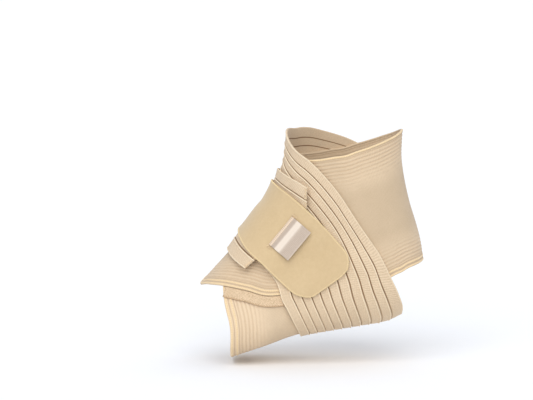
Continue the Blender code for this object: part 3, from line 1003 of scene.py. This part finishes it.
# %% Tree: stitches at even steps along guide lines
def stitches_tree():
    inputs = {"Pitch": "Float", "Length": "Float", "Thickness": "Float", "Turn": "Float",
              "Jitter": "Float", "Seed": "Int", "Material": "Material"}
    graph, wires = geometry_graph("stitches", inputs)
    curve = graph.add("GeometryNodeMeshToCurve", {}, {"Mesh": wires["Geometry"]})
    spots = graph.add("GeometryNodeCurveToPoints", {"mode": "LENGTH"},
                      {"Curve": curve, "Length": wires["Pitch"]})
    up = graph.named("up", "FLOAT_VECTOR")
    facing = graph.add("FunctionNodeAlignRotationToVector", {"axis": "Z"}, {"Vector": up})
    facing = graph.add("FunctionNodeAlignRotationToVector", {"axis": "X", "pivot_axis": "Z"},
                       {"Rotation": facing, "Vector": spots.beside("Tangent")})
    chance = graph.add("FunctionNodeRandomValue", {"data_type": "FLOAT"},
                       {2: -1.0, 3: 1.0, "Seed": wires["Seed"]}, take=1)
    swing = wires["Turn"] + chance * wires["Jitter"]
    axis_turn = graph.add("FunctionNodeAxisAngleToRotation", {}, {"Axis": (0.0, 0.0, 1.0), "Angle": swing})
    facing = graph.add("FunctionNodeRotateRotation", {"rotation_space": "LOCAL"},
                       {"Rotation": facing, "Rotate By": axis_turn})
    bead = graph.add("GeometryNodeMeshUVSphere", {}, {"Segments": 6, "Rings": 4, "Radius": 0.5})
    size = graph.add("ShaderNodeCombineXYZ", {},
                     {0: wires["Length"], 1: wires["Thickness"], 2: wires["Thickness"]})
    placed = graph.add("GeometryNodeInstanceOnPoints", {},
                       {"Points": spots, "Instance": bead, "Rotation": facing, "Scale": size})
    placed = graph.add("GeometryNodeRealizeInstances", {}, {0: placed})
    return close_graph(graph, placed, wires["Material"])


stitches = stitches_tree()
print("inputs of the stitch tree:", [item.name for item in stitches.interface.items_tree])

# %% [markdown]
# ## Finishes
#
# All finishes are procedural and read the UV map in metres, so one millimetre of weave is one
# millimetre everywhere. The cloth is elastic knit: columns of small V-shaped loops, lighter on their
# crests, with a slow unevenness of the dye. The grooves between ribs, and the lines beside the
# cords, are darker with painted shade.

# %% Start a finish
def finish_graph(name, roughness, sheen):
    """A new material with a cloth shader, its graph, and the two coordinates of the cloth."""
    made = bpy.data.materials.new(name)
    made.use_nodes = True
    graph = Graph(made.node_tree)
    graph.shader = made.node_tree.nodes["Principled BSDF"]
    graph.shader.inputs["Roughness"].default_value = roughness
    graph.shader.inputs["Sheen Weight"].default_value = sheen
    graph.shader.inputs["Sheen Roughness"].default_value = 0.45
    graph.shader.inputs["Specular IOR Level"].default_value = 0.25
    uv = graph.add("ShaderNodeUVMap", {"uv_map": "cloth"})
    graph.along = graph.add("ShaderNodeSeparateXYZ", {}, {0: uv})
    graph.across = graph.along.beside("Y")
    graph.object = graph.add("ShaderNodeTexCoord", take=3)
    return made, graph


def end_finish(graph, colour, height, depth):
    """Links a finish's colour and its relief, where `depth` is the relief in metres."""
    graph.tree.links.new(colour.socket, graph.shader.inputs["Base Color"])
    bump = graph.add("ShaderNodeBump", {}, {"Strength": 1.0, "Distance": depth, "Height": height})
    graph.tree.links.new(bump.socket, graph.shader.inputs["Normal"])


def knit(graph, wale, course):
    """Height of a plain knit, from 0 to 1: columns of loops that meet in a V."""
    column = graph.across / wale
    side = (column.math("FRACT") - 0.5).abs()
    loop = (graph.along / course + side * 0.8).wave()
    wall = 1 - side * side * 3.2
    return loop * wall


def rgb(red, green, blue):
    """A colour given in 0 to 255, as on a screen, made linear."""
    parts = [value / 255 for value in (red, green, blue)]
    linear = [v / 12.92 if v <= 0.04045 else ((v + 0.055) / 1.055) ** 2.4 for v in parts]
    return (*linear, 1.0)


print("beige of the bands, linear:", [round(v, 3) for v in rgb(222, 197, 163)])

# %% Finish: the knit of the two loops
CORD_CREAM = rgb(250, 226, 184)
# Colour of the painted shade in the rib grooves and beside the cords.
LOOP_GROOVE_SHADE = rgb(196, 166, 131)
ANKLE_TONES = (rgb(232, 208, 177), rgb(205, 181, 148), rgb(218, 195, 164), rgb(190, 166, 134))
# The foot band's tones are a lighter copy of the ankle band's knit: painted light that offsets the shade on
# its downward-facing surfaces.
FOOT_LIT_TONES = (rgb(246, 222, 190), rgb(220, 195, 162), rgb(234, 211, 180), rgb(204, 180, 148))

UPPER_RIBS = {"start": 1.9 * MM, "pitch": 2.7 * MM, "count": 10.5}
LOWER_RIBS = {"start": 5.6 * MM, "pitch": 2.6 * MM, "count": 9.0}
FRONT_RIBS = {"start": 7.6 * MM, "pitch": 2.9 * MM, "count": 8.6}
NO_RIBS = {"start": 1.0, "pitch": 1.0, "count": 1.0}


def ribs_end(ribs):
    """Distance from the edge at which the last rib ends."""
    return ribs["start"] + ribs["pitch"] * ribs["count"]


def plain_from(distance, ribs):
    """1 in the plain part of a loop, where the knit is a little darker, and 0 among its ribs."""
    return distance.ease(ribs_end(ribs) * 0.55, ribs_end(ribs) * 1.15)


def loop_cloth(name, width, upper, lower, shade_lines, tones):
    """Knit of a loop: ribs from its edges with painted shade in their grooves, and lines of painted shade
    beside its cords.
    """
    crest, shade, plain_crest, plain_shade = tones
    made, graph = finish_graph(name, 0.92, 0.18)
    loops = knit(graph, 0.95 * MM, 1.15 * MM)
    grooves = ribs_from_edge(width - graph.across, **lower)
    plain = plain_from(width - graph.across, lower)
    if upper:
        grooves = grooves + ribs_from_edge(graph.across, **upper)
        plain = plain * plain_from(graph.across, upper)
    lines = 0.0
    for centre in shade_lines:
        lines = graph.across.line(centre, 0.55 * MM) + lines
    slow = graph.noise(graph.object, 70.0, 3.0)
    fibres = graph.noise(graph.object, 1500.0, 2.0)
    tone = loops * 0.45 + fibres * 0.5 + slow * 0.35 - 0.12
    colour = graph.mix(plain, graph.mix(tone, shade, crest), graph.mix(tone, plain_shade, plain_crest))
    # Painted shade in the rib grooves and in the lines beside the cords.
    colour = graph.mix(grooves * 0.45, colour, LOOP_GROOVE_SHADE)
    colour = graph.mix(lines * 0.6, colour, LOOP_GROOVE_SHADE)
    end_finish(graph, colour, loops * 0.7 + fibres * 0.3 - grooves * 0.6 - lines * 1.2, 0.22 * MM)
    return made


ankle_cloth = loop_cloth("band_cloth_ankle", ANKLE_BAND_WIDTH, UPPER_RIBS, LOWER_RIBS,
                         [1.7 * MM, ANKLE_BAND_WIDTH - 2.5 * MM, ANKLE_BAND_WIDTH - 5.4 * MM], ANKLE_TONES)
foot_cloth = loop_cloth("band_cloth_foot", FOOT_BAND_WIDTH, None, FRONT_RIBS,
                        [FOOT_BAND_WIDTH - 3.2 * MM, FOOT_BAND_WIDTH - 7.0 * MM], FOOT_LIT_TONES)
print("loop finishes:", ankle_cloth.name, foot_cloth.name)

# %% Finish: the nubby weave of the strap
STRAP_LIGHT = rgb(236, 214, 184)
STRAP_DARK = rgb(194, 169, 136)
# Colour of the painted shade in the strap's grooves.
STRAP_GROOVE_SHADE = rgb(126, 93, 60)
FIRST_STRIP = 8.55 * MM
STRIP_PITCH = 6.66 * MM
GROOVES = STRAP_RIBS - 1
# Each groove carries painted shade, darkest high on the strap and fading towards the sole.
GROOVE_SHADE_DARKEST_AT = -0.052
GROOVE_SHADE_FADES_AT = -0.086


def strap_cloth():
    made, graph = finish_graph("strap_cloth", 0.95, 0.15)
    place = (graph.across - FIRST_STRIP) / STRIP_PITCH
    nearest = place.math("ROUND").math("MAXIMUM", 0.0).math("MINIMUM", GROOVES - 1.0)
    beside = (place - nearest) * STRIP_PITCH
    groove = beside.line(-0.05 * MM, 0.62 * MM)
    wobble = graph.noise(graph.object, 420.0, 1.0)
    rows = (graph.along / (1.25 * MM) + graph.across / (2.5 * MM) + wobble * 0.8).wave()
    bars = (graph.across / (1.11 * MM) - graph.along / (4.5 * MM) + wobble).wave()
    nubs = graph.noise(graph.object, 1300.0, 2.0, 0.6)
    slow = graph.noise(graph.object, 60.0, 3.0)
    weave = rows * 0.25 + rows * bars * 0.45 + nubs * 0.9
    tone = weave * 0.8 + slow * 0.4 - 0.26
    colour = graph.mix(tone, STRAP_DARK, STRAP_LIGHT)
    # Painted shade in each groove, stronger higher up and weaker near the sole.
    height = graph.add("ShaderNodeSeparateXYZ", {}, {"Vector": graph.object}, take=2)
    dark = height.ease(GROOVE_SHADE_FADES_AT, GROOVE_SHADE_DARKEST_AT) * 0.55 + 0.35
    colour = graph.mix(groove * dark, colour, STRAP_GROOVE_SHADE)
    end_finish(graph, colour, weave, 0.22 * MM)
    return made


strap_finish = strap_cloth()
print("strap finish:", strap_finish.name)

# %% Finish: felt, strip tape, satin, cords and thread
FELT_LIGHT = rgb(216, 191, 151)
FELT_DARK = rgb(192, 166, 125)
TAPE_LIGHT = rgb(230, 204, 170)
TAPE_DARK = rgb(180, 151, 116)
TAPE_SEAM = rgb(182, 148, 112)
# Satin tones; the light one is reached in the painted sheen band.
SATIN_LIGHT = rgb(228, 213, 196)
SATIN_DARK = rgb(160, 138, 119)
SATIN_HEM = rgb(232, 208, 180)


def felt():
    made, graph = finish_graph("flap_cloth", 0.96, 0.3)
    fuzz = graph.noise(graph.object, 2600.0, 3.0, 0.7)
    clumps = graph.noise(graph.object, 420.0, 2.0, 0.6)
    slow = graph.noise(graph.object, 45.0, 2.0)
    tone = fuzz * 0.55 + clumps * 0.4 + slow * 0.5 - 0.22
    colour = graph.mix(tone, FELT_DARK, FELT_LIGHT)
    end_finish(graph, colour, fuzz * 0.5 + clumps, 0.16 * MM)
    return made


def strip_tape():
    made, graph = finish_graph("strip_cloth", 0.94, 0.15)
    rows = (graph.along / (1.0 * MM) + graph.across / (1.7 * MM)).wave()
    nubs = graph.noise(graph.object, 1400.0, 2.0, 0.5)
    slow = graph.noise(graph.object, 90.0)
    seam = graph.across.line(JOINING_STRIP_WIDTH - 0.25 * MM, 0.6 * MM)
    tone = (nubs - 0.5) * 1.7 + rows * 0.25 + slow * 0.5 + 0.2
    colour = graph.mix(tone, TAPE_DARK, TAPE_LIGHT)
    colour = graph.mix(seam * 0.6, colour, TAPE_SEAM)
    end_finish(graph, colour, rows * 0.4 + nubs, 0.16 * MM)
    return made


def satin():
    made, graph = finish_graph("label_satin", 0.45, 0.0)
    threads = (graph.along / (0.42 * MM)).wave()
    floats = graph.noise(graph.object, 900.0, 2.0)
    dots = (graph.along / (1.15 * MM)).wave() * (graph.across / (1.15 * MM)).wave()
    # Painted reflection across the satin: a darker band, a bright sheen band, and a darker far half that
    # leaves a lighter painted highlight along the fold.
    hem = 1 - graph.across.ease(1.8 * MM, 2.4 * MM)
    painted_dark_band = graph.across.line(3.9 * MM, 2.3 * MM)
    sheen = graph.across.line(7.7 * MM, 3.4 * MM)
    far = graph.across.ease(9.0 * MM, 12.5 * MM) * (1 - graph.across.ease(17.8 * MM, 18.8 * MM))
    tone = threads * 0.05 + floats * 0.2 + 0.5 + sheen * 0.42 - painted_dark_band * 0.28 - far * (dots * 0.16 + 0.2)
    colour = graph.mix(tone, SATIN_DARK, SATIN_LIGHT)
    colour = graph.mix(hem * 0.75, colour, SATIN_HEM)
    end_finish(graph, colour, threads, 0.05 * MM)
    return made


def twisted(name, light, dark, twist):
    """A yarn that is swept as a cord: its turns show as slanting lines."""
    made, graph = finish_graph(name, 0.85, 0.2)
    run = graph.add("ShaderNodeAttribute", {"attribute_name": "run"}, take=2)
    turn = graph.add("ShaderNodeAttribute", {"attribute_name": "turn"}, take=2)
    ply = (run / twist + turn).wave()
    fibres = graph.noise(graph.object, 2000.0)
    colour = graph.mix(ply * 0.6 + fibres * 0.5 - 0.05, dark, light)
    end_finish(graph, colour, ply, 0.12 * MM)
    return made


def thread(name, light, dark):
    made, graph = finish_graph(name, 0.7, 0.1)
    fibres = graph.noise(graph.object, 3000.0)
    shade = graph.noise(graph.object, 300.0)
    colour = graph.mix(fibres * 0.6 + shade * 0.5 - 0.05, dark, light)
    end_finish(graph, colour, fibres, 0.05 * MM)
    return made


flap_felt = felt()
tape = strip_tape()
label_finish = satin()
cream_cord = twisted("cord_cream", CORD_CREAM, rgb(226, 196, 150), 1.3 * MM)
strap_cord = twisted("cord_strap", rgb(250, 232, 202), rgb(222, 198, 164), 1.1 * MM)
# Groove cords: real cords, made lighter as a painted highlight on each strip's rolled edge.
groove_cord_highlight = twisted("cord_groove_highlight", rgb(250, 234, 206), rgb(234, 210, 176), 1.1 * MM)
cream_thread = thread("thread_cream", rgb(246, 226, 190), rgb(216, 188, 148))
tan_thread = thread("thread_tan", rgb(200, 166, 126), rgb(160, 126, 90))
straw_thread = thread("thread_straw", rgb(246, 224, 178), rgb(218, 192, 144))
print("finishes:", len(bpy.data.materials))

# %% [markdown]
# ## The two loops
#
# Wide elastic, plain in the middle. The lines of the mesh lie close together where there are
# ribs, and wide apart where the cloth is plain.

# %% Make the foot band and the ankle band
LINES_PER_RIB = 7
# Ribs keep to the lower edge, and reach further across where the cross lines lean.
LOWER_ZONE = 1.3


def rib_zone(width, ribs, lower):
    """The part of a width that ribs take, and the close spacing of the lines there."""
    spacing = ribs["pitch"] / LINES_PER_RIB
    if lower:
        return (width - LOWER_ZONE * ribs_end(ribs), width, spacing)
    return (0, ribs_end(ribs), spacing)


def rib_inputs(width, depth, material, upper, lower):
    """Inputs of the rib tree for a loop."""
    inputs = {"Width": width, "Rib Depth": depth, "Unevenness": 0.25 * MM, "Material": material}
    for side, ribs in (("Upper", upper), ("Lower", lower)):
        inputs.update({side + " Start": ribs["start"], side + " Pitch": ribs["pitch"],
                       side + " Ribs": ribs["count"]})
    return inputs


ankle_lines = width_lines(ANKLE_BAND_WIDTH, [rib_zone(ANKLE_BAND_WIDTH, UPPER_RIBS, False),
                                             rib_zone(ANKLE_BAND_WIDTH, LOWER_RIBS, True),
                                             (0.0, ANKLE_BAND_WIDTH, 3 * MM)])
foot_lines = width_lines(FOOT_BAND_WIDTH, [rib_zone(FOOT_BAND_WIDTH, FRONT_RIBS, True),
                                           (0.0, FOOT_BAND_WIDTH, 3 * MM)])

wall = cloth_wall("ankle_band_wall", ankle_laid, ankle_rows, ankle_lines, square=True)
run_tree("ankle_band_cloth", wall, loop_ribs,
         rib_inputs(ANKLE_BAND_WIDTH, 0.3 * MM, ankle_cloth, UPPER_RIBS, LOWER_RIBS))
wall = cloth_wall("foot_band_wall", foot_laid, foot_rows, foot_lines)
run_tree("foot_band_cloth", wall, loop_ribs,
         rib_inputs(FOOT_BAND_WIDTH, 0.25 * MM, foot_cloth, NO_RIBS, FRONT_RIBS))

# %% Their bright edge cords
def edge_cords(name, laid, rows, places, radius, material, lift):
    """Cords along a band; each place is a distance from its upper edge."""
    runs = [trace(laid, rows, place / laid.width - 0.5, lift) for place in places]
    run_tree(name, guide_mesh(name + "_guide", runs), cords,
             {"Radius": radius, "Sides": 8, "Material": material})


slope = lower_edge_slope(ankle_laid, ankle_rows)
edge_cords("ankle_band_cords", ankle_laid, ankle_rows,
           [0.75 * MM, ANKLE_BAND_WIDTH - 3.95 * MM / slope, ANKLE_BAND_WIDTH - 1.1 * MM / slope],
           0.75 * MM, cream_cord, -0.38 * MM)
edge_cords("foot_band_cords", foot_laid, foot_rows,
           [FOOT_BAND_WIDTH - 5.1 * MM, FOOT_BAND_WIDTH - 1.2 * MM], 0.75 * MM, cream_cord, -0.35 * MM)

# %% [markdown]
# ## The joining strips
#
# Two short tapes that join the ankle band to the foot band. Their lower edge is sewn down, which
# shows as a fine dark line with short stitches.

# %% Make the strips and their hems
def sew(name, runs, material, sizes, turn, jitter, seed):
    """Stitches along runs: pitch, length and thickness in millimetres, and a turn in degrees."""
    pitch, length, thickness = (size * MM for size in sizes)
    run_tree(name, guide_mesh(name + "_guide", runs), stitches, {
        "Pitch": pitch, "Length": length, "Thickness": thickness, "Turn": math.radians(turn),
        "Jitter": jitter, "Seed": seed, "Material": material})


strip_rows = np.linspace(0, 1, 61)
strip_lines = width_lines(JOINING_STRIP_WIDTH, [(0.0, JOINING_STRIP_WIDTH, 0.8 * MM)])
for side, laid in strips_laid.items():
    name = "joining_strip_" + side
    keep_piece(name + "_tape", cloth_wall(name + "_tape", laid, strip_rows, strip_lines), tape)
    runs = [trace(laid, np.linspace(0.01, 0.99, 80), 0.5 - 1.0 * MM / JOINING_STRIP_WIDTH, 0.0)]
    sew(name + "_hem", runs, tan_thread, (2.1, 1.4, 0.32), 0, 0.06, 3)

# %% [markdown]
# ## The ribbed strap
#
# Eleven strips of nubby weave. The tree carves the grooves, a thin cord lies on the lower side of
# each groove, its light colour partly a painted highlight on the strip's rolled edge, and the free
# end is overlocked with short stitches that wrap over the edge.

# %% Make the strap
groove_places = [FIRST_STRIP + STRIP_PITCH * k for k in range(GROOVES)]
strap_zones = [(0.0, STRAP_WIDTH, STRIP_PITCH / 3)]
strap_zones += [(place - 0.6 * MM, place + 0.65 * MM, 0.2 * MM) for place in groove_places]
strap_lines = width_lines(STRAP_WIDTH, strap_zones)
wall = cloth_wall("strap_wall", strap_laid, strap_rows, strap_lines)
run_tree("cross_strap_cloth", wall, strap_ribs, {
    "First Strip": FIRST_STRIP, "Strip": STRIP_PITCH, "Grooves": float(GROOVES),
    "Groove Half Width": 0.5 * MM, "Groove Depth": 0.5 * MM, "Crown": 0.12 * MM,
    "Unevenness": 0.2 * MM, "Material": strap_finish})
edge_cords("cross_strap_cords", strap_laid, strap_rows,
           [place + 0.98 * MM for place in groove_places], 0.48 * MM, groove_cord_highlight, 0.0)

# %% Its selvages, overlocked end and sewn start
edge_cords("cross_strap_selvages", strap_laid, strap_rows,
           [0.6 * MM, STRAP_WIDTH - 0.6 * MM], 0.5 * MM, strap_cord, -0.3 * MM)
across_strap = np.linspace(-0.49, 0.49, 90)
runs = [trace(strap_laid, 1 - 1.0 * MM / strap_length, across_strap, 0.0)]
sew("cross_strap_overlock", runs, cream_thread, (1.0, 2.3, 0.55), 82, 0.25, 5)
runs = [trace(strap_laid, distance * MM / strap_length, across_strap, 0.0) for distance in (3, 10)]
sew("cross_strap_start_seam", runs, cream_thread, (2.6, 2.0, 0.45), 0, 0.05, 6)

# %% [markdown]
# ## The closure flap
#
# A smooth felt tab with rounded corners. Its corners are made by narrowing the rows near the far
# end by a quarter circle, and a fine overlock runs round its rim.

# %% Make the flap
def corner_keep(distance):
    """Share of its width that the flap keeps at a distance along it."""
    into = np.clip(distance - (FLAP_LENGTH - FLAP_CORNER), 0, FLAP_CORNER)
    cut = FLAP_CORNER - np.sqrt(np.maximum(FLAP_CORNER ** 2 - into ** 2, 0))
    return 1 - 2 * cut / FLAP_WIDTH


straight = np.linspace(0, FLAP_LENGTH - FLAP_CORNER, 80)
turning = FLAP_LENGTH - FLAP_CORNER + FLAP_CORNER * np.sin(np.radians(np.linspace(0, 90, 25)[1:]))
flap_run = np.unique(np.concatenate((EDGE_LINES, straight[1:], turning[:-1],
                                     FLAP_LENGTH - np.array(EDGE_LINES))))
flap_lines = width_lines(FLAP_WIDTH, [(0.0, FLAP_WIDTH, 1.2 * MM)])
wall = cloth_wall("closure_flap_felt", flap_laid, flap_run / FLAP_LENGTH, flap_lines, corner_keep(flap_run))
keep_piece("closure_flap_felt", wall, flap_felt)

# %% Its rim
RIM_INSET = 0.45 * MM


def rim_run(laid):
    """The outline of the flap, a little inside its edge, from one sewn corner to the other."""
    keep = corner_keep(flap_run) - 2 * RIM_INSET / FLAP_WIDTH
    along = np.minimum(flap_run, FLAP_LENGTH - RIM_INSET) / FLAP_LENGTH
    last = keep[-1] / 2
    tip = np.linspace(last, -last, 40)[1:-1]
    share = np.concatenate((keep / 2, tip, -keep[::-1] / 2))
    along = np.concatenate((along, np.full(len(tip), along[-1]), along[::-1]))
    return trace(laid, along, share, -0.25 * MM)


sew("closure_flap_rim", [rim_run(flap_laid)], straw_thread, (0.8, 1.9, 0.7), 74, 0.14, 8)

# %% [markdown]
# ## The label
#
# A strip of satin folded in half and sewn down along its cut ends. Its section is drawn as a
# centre line that runs out along the lower layer, turns at the fold and comes back as the upper
# layer, and the wall is a fraction of a millimetre to both sides of that line.

# %% Make the folded label
LABEL_LAYER = 0.0004
FOLD_LIFT = 0.0012
FOLD_AT = 0.47
LAYERS_APART = 0.00052
PUFF = 0.00035


def label_section():
    """Centre line of the folded satin, as (share across, height), from the lower cut end."""
    out = np.linspace(-0.5, FOLD_AT, 26)
    fold = np.radians(np.linspace(-90, 90, 9)[1:-1])

    def height(share):
        return LABEL_LAYER / 2 + FOLD_LIFT * (share + 0.5) ** 2

    def puff(share):
        return PUFF * np.sin(np.clip((share + 0.36) / 0.5, 0, 1) * math.pi)

    lower = [(share, height(share)) for share in out]
    centre = height(FOLD_AT) + LAYERS_APART / 2
    turn = [(FOLD_AT + math.cos(a) * 0.02, centre + math.sin(a) * LAYERS_APART / 2) for a in fold]
    upper = [(share, height(share) + LAYERS_APART + puff(share)) for share in out[::-1]]
    return np.array(lower + turn + upper)


section = label_section()
distance = np.stack((section[:, 0] * LABEL_WIDTH, section[:, 1]), axis=-1)
direction = np.gradient(distance, axis=0)
direction /= np.linalg.norm(direction, axis=1, keepdims=True)
side_step = np.stack((direction[:, 1], -direction[:, 0]), axis=-1) * LABEL_LAYER / 2
label_rows = np.linspace(0, 1, 41)


def label_grid(offsets):
    """Points of the label for a section that is moved by offsets."""
    moved = distance + offsets
    face, away = label_laid.face(label_rows, moved[None, :, 0] / LABEL_WIDTH)
    return face + away * moved[None, :, 1, None], away


outside, away = label_grid(side_step)
inside, _ = label_grid(-side_step)
arc = np.concatenate(([0], np.cumsum(np.linalg.norm(np.diff(distance, axis=0), axis=1))))
unfolded = np.broadcast_to(np.abs(arc[-1] - arc)[None, :], outside.shape[:2])
wall = two_faces("flap_label_satin", outside, inside, label_rows * LABEL_LENGTH, unfolded, away, label_laid)
keep_piece("flap_label_satin", wall, label_finish)
print("label unfolds to", round(arc[-1] * 1000, 1), "mm")

# %% Its seam and the loose thread ends
label_run = np.linspace(0.0, 1.0, 60)
runs = [trace(label_laid, label_run, across, -0.05 * MM) for across in (-0.465, -0.385)]
sew("flap_label_seam", runs, tan_thread, (1.3, 0.8, 0.28), 35, 0.15, 11)
seam_width = np.linspace(-0.53, -0.33, 12)
runs = [trace(label_laid, along, seam_width, -0.5 * MM) for along in (-0.045, 1.045)]
sew("flap_label_fringe", runs, cream_thread, (0.55, 2.0, 0.28), 85, 0.5, 12)

# %% [markdown]
# ## Each piece on the body
#
# Each piece rides on the only body and takes the place of its solid. The flat size that each cloth
# was cut to is printed. The loops and the strap are worn stretched, so their flat length is shorter
# than the length measured here.

# %% Lengths of the bands as they lie, and flat
LOOP_STRETCH = 1.18
STRAP_STRETCH = 1.15
STRIP_TURNED_IN = 0.0025


def lying_length(laid):
    """Length of the middle line of a band as it lies, halfway through its thickness."""
    face, away = laid.face(np.linspace(0, 1, 401), np.array([[0.0]]))
    middle = face[:, 0] + away[:, 0] * laid.thickness / 2
    return float(np.linalg.norm(np.diff(middle, axis=0), axis=1).sum())


lying = {"ankle band": lying_length(ankle_laid), "foot band": lying_length(foot_laid),
         "strip": lying_length(strips_laid["outer"]), "strap": lying_length(strap_laid),
         "flap": lying_length(flap_laid)}
print("lengths as they lie, in mm:", {name: round(value * 1000) for name, value in lying.items()})

# %% Ride and replace
STRIP_FLAT = (JOINING_STRIP_WIDTH + STRIP_TURNED_IN, lying["strip"])
SHEETS = {
    "ankle_band_cloth": ("ankle_band", "band_cloth", (ANKLE_BAND_WIDTH, lying["ankle band"] / LOOP_STRETCH),
                         "stretched", ["foot_band"], ["ankle_band_cords"]),
    "foot_band_cloth": ("foot_band", "band_cloth", (FOOT_BAND_WIDTH, lying["foot band"] / LOOP_STRETCH),
                        "stretched", [], ["foot_band_cords"]),
    "joining_strip_outer_tape": ("joining_strip_outer", "strip_cloth", STRIP_FLAT, "laid",
                                 ["foot_band"], ["joining_strip_outer_hem"]),
    "joining_strip_inner_tape": ("joining_strip_inner", "strip_cloth", STRIP_FLAT, "laid",
                                 ["foot_band"], ["joining_strip_inner_hem"]),
    "cross_strap_cloth": ("cross_strap", "strap_cloth", (STRAP_WIDTH, lying["strap"] / STRAP_STRETCH),
                          "stretched", ["ankle_band", "foot_band"],
                          ["cross_strap_cords", "cross_strap_selvages", "cross_strap_overlock",
                           "cross_strap_start_seam"]),
    "closure_flap_felt": ("closure_flap", "flap_cloth", (FLAP_WIDTH, lying["flap"]), "laid",
                          ["cross_strap"], ["closure_flap_rim"]),
    "flap_label_satin": ("flap_label", "label_satin", (LABEL_LENGTH, 2 * LABEL_WIDTH), "folded",
                         ["closure_flap"], ["flap_label_seam", "flap_label_fringe"]),
}
for name, (node, slot, flat, held, rests_on, extras) in SHEETS.items():
    for part_name in [name] + extras:
        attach(pieces[part_name], "root")
        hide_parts(node)
    print(name, "flat size in mm:", [round(v * 1000) for v in flat])

# %% [markdown]
# ## Floor, light and camera
#
# A plain pale floor that runs far past the frame, a white surround, and two very soft suns: the
# larger from the front and above, a weak one from behind, so that no side is dark. The camera
# stands 6 degrees above the ankle, level with the outer side, far away with a long lens.

# %% The floor
FLOOR_HEIGHT = -0.1125
FLOOR_RADIUS = 14.0


def round_floor():
    turns = np.linspace(0, 2 * math.pi, 97)[:-1]
    points = [(FLOOR_RADIUS * math.cos(t), FLOOR_RADIUS * math.sin(t), FLOOR_HEIGHT) for t in turns]
    mesh = bpy.data.meshes.new("floor")
    mesh.from_pydata(points, [], [tuple(range(len(points)))])
    pale = bpy.data.materials.new("floor_pale")
    pale.use_nodes = True
    graph = Graph(pale.node_tree)
    place = graph.add("ShaderNodeTexCoord", take=3)
    colour = graph.mix(graph.noise(place, 6.0, 3.0), (0.93, 0.93, 0.93, 1.0), (0.95, 0.95, 0.95, 1.0))
    shader = pale.node_tree.nodes["Principled BSDF"]
    graph.tree.links.new(colour.socket, shader.inputs["Base Color"])
    shader.inputs["Roughness"].default_value = 0.9
    shader.inputs["Specular IOR Level"].default_value = 0.1
    mesh.materials.append(pale)
    return linked("floor", mesh)


floor = round_floor()

# %% The lights
def soft_sun(name, towards, strength, softness):
    """A sun that shines along a direction, with a wide soft disc."""
    lamp = bpy.data.lights.new(name, "SUN")
    lamp.energy = strength * math.pi
    lamp.angle = math.radians(softness)
    linked(name, lamp).rotation_euler = Vector(towards).to_track_quat("-Z", "Y").to_euler()


soft_sun("sun_front", (0.12, 1.0, -0.92), 0.60, 60)
soft_sun("sun_back", (-0.3, -1.0, -1.1), 0.18, 80)
surround = bpy.data.worlds.new("surround")
surround.use_nodes = True
sky = surround.node_tree.nodes["Background"]
sky.inputs["Color"].default_value = (0.95, 1.0, 1.10, 1.0)
sky.inputs["Strength"].default_value = 0.58
bpy.context.scene.world = surround
bpy.context.scene.view_settings.view_transform = "Standard"

# %% The camera
CAMERA_ELEVATION = math.radians(6)
CAMERA_DISTANCE = 2.6
FRAME_WIDTH = 0.400
AIM = Vector((-0.0589, 0.0, 0.00905))

lens = bpy.data.cameras.new("camera")
lens.sensor_width = 36.0
lens.lens = 36.0 * CAMERA_DISTANCE / FRAME_WIDTH
camera = linked("camera", lens)
back = Vector((0.0, -math.cos(CAMERA_ELEVATION), math.sin(CAMERA_ELEVATION)))
camera.location = AIM + back * CAMERA_DISTANCE
camera.rotation_euler = (-back).to_track_quat("-Z", "Y").to_euler()
bpy.context.scene.camera = camera
print("lens in mm:", round(lens.lens))

# %% [markdown]
# ## Finish
#
# The dressed brace may stand a little proud of its solids.

# %% Finish
bpy.context.view_layer.update()
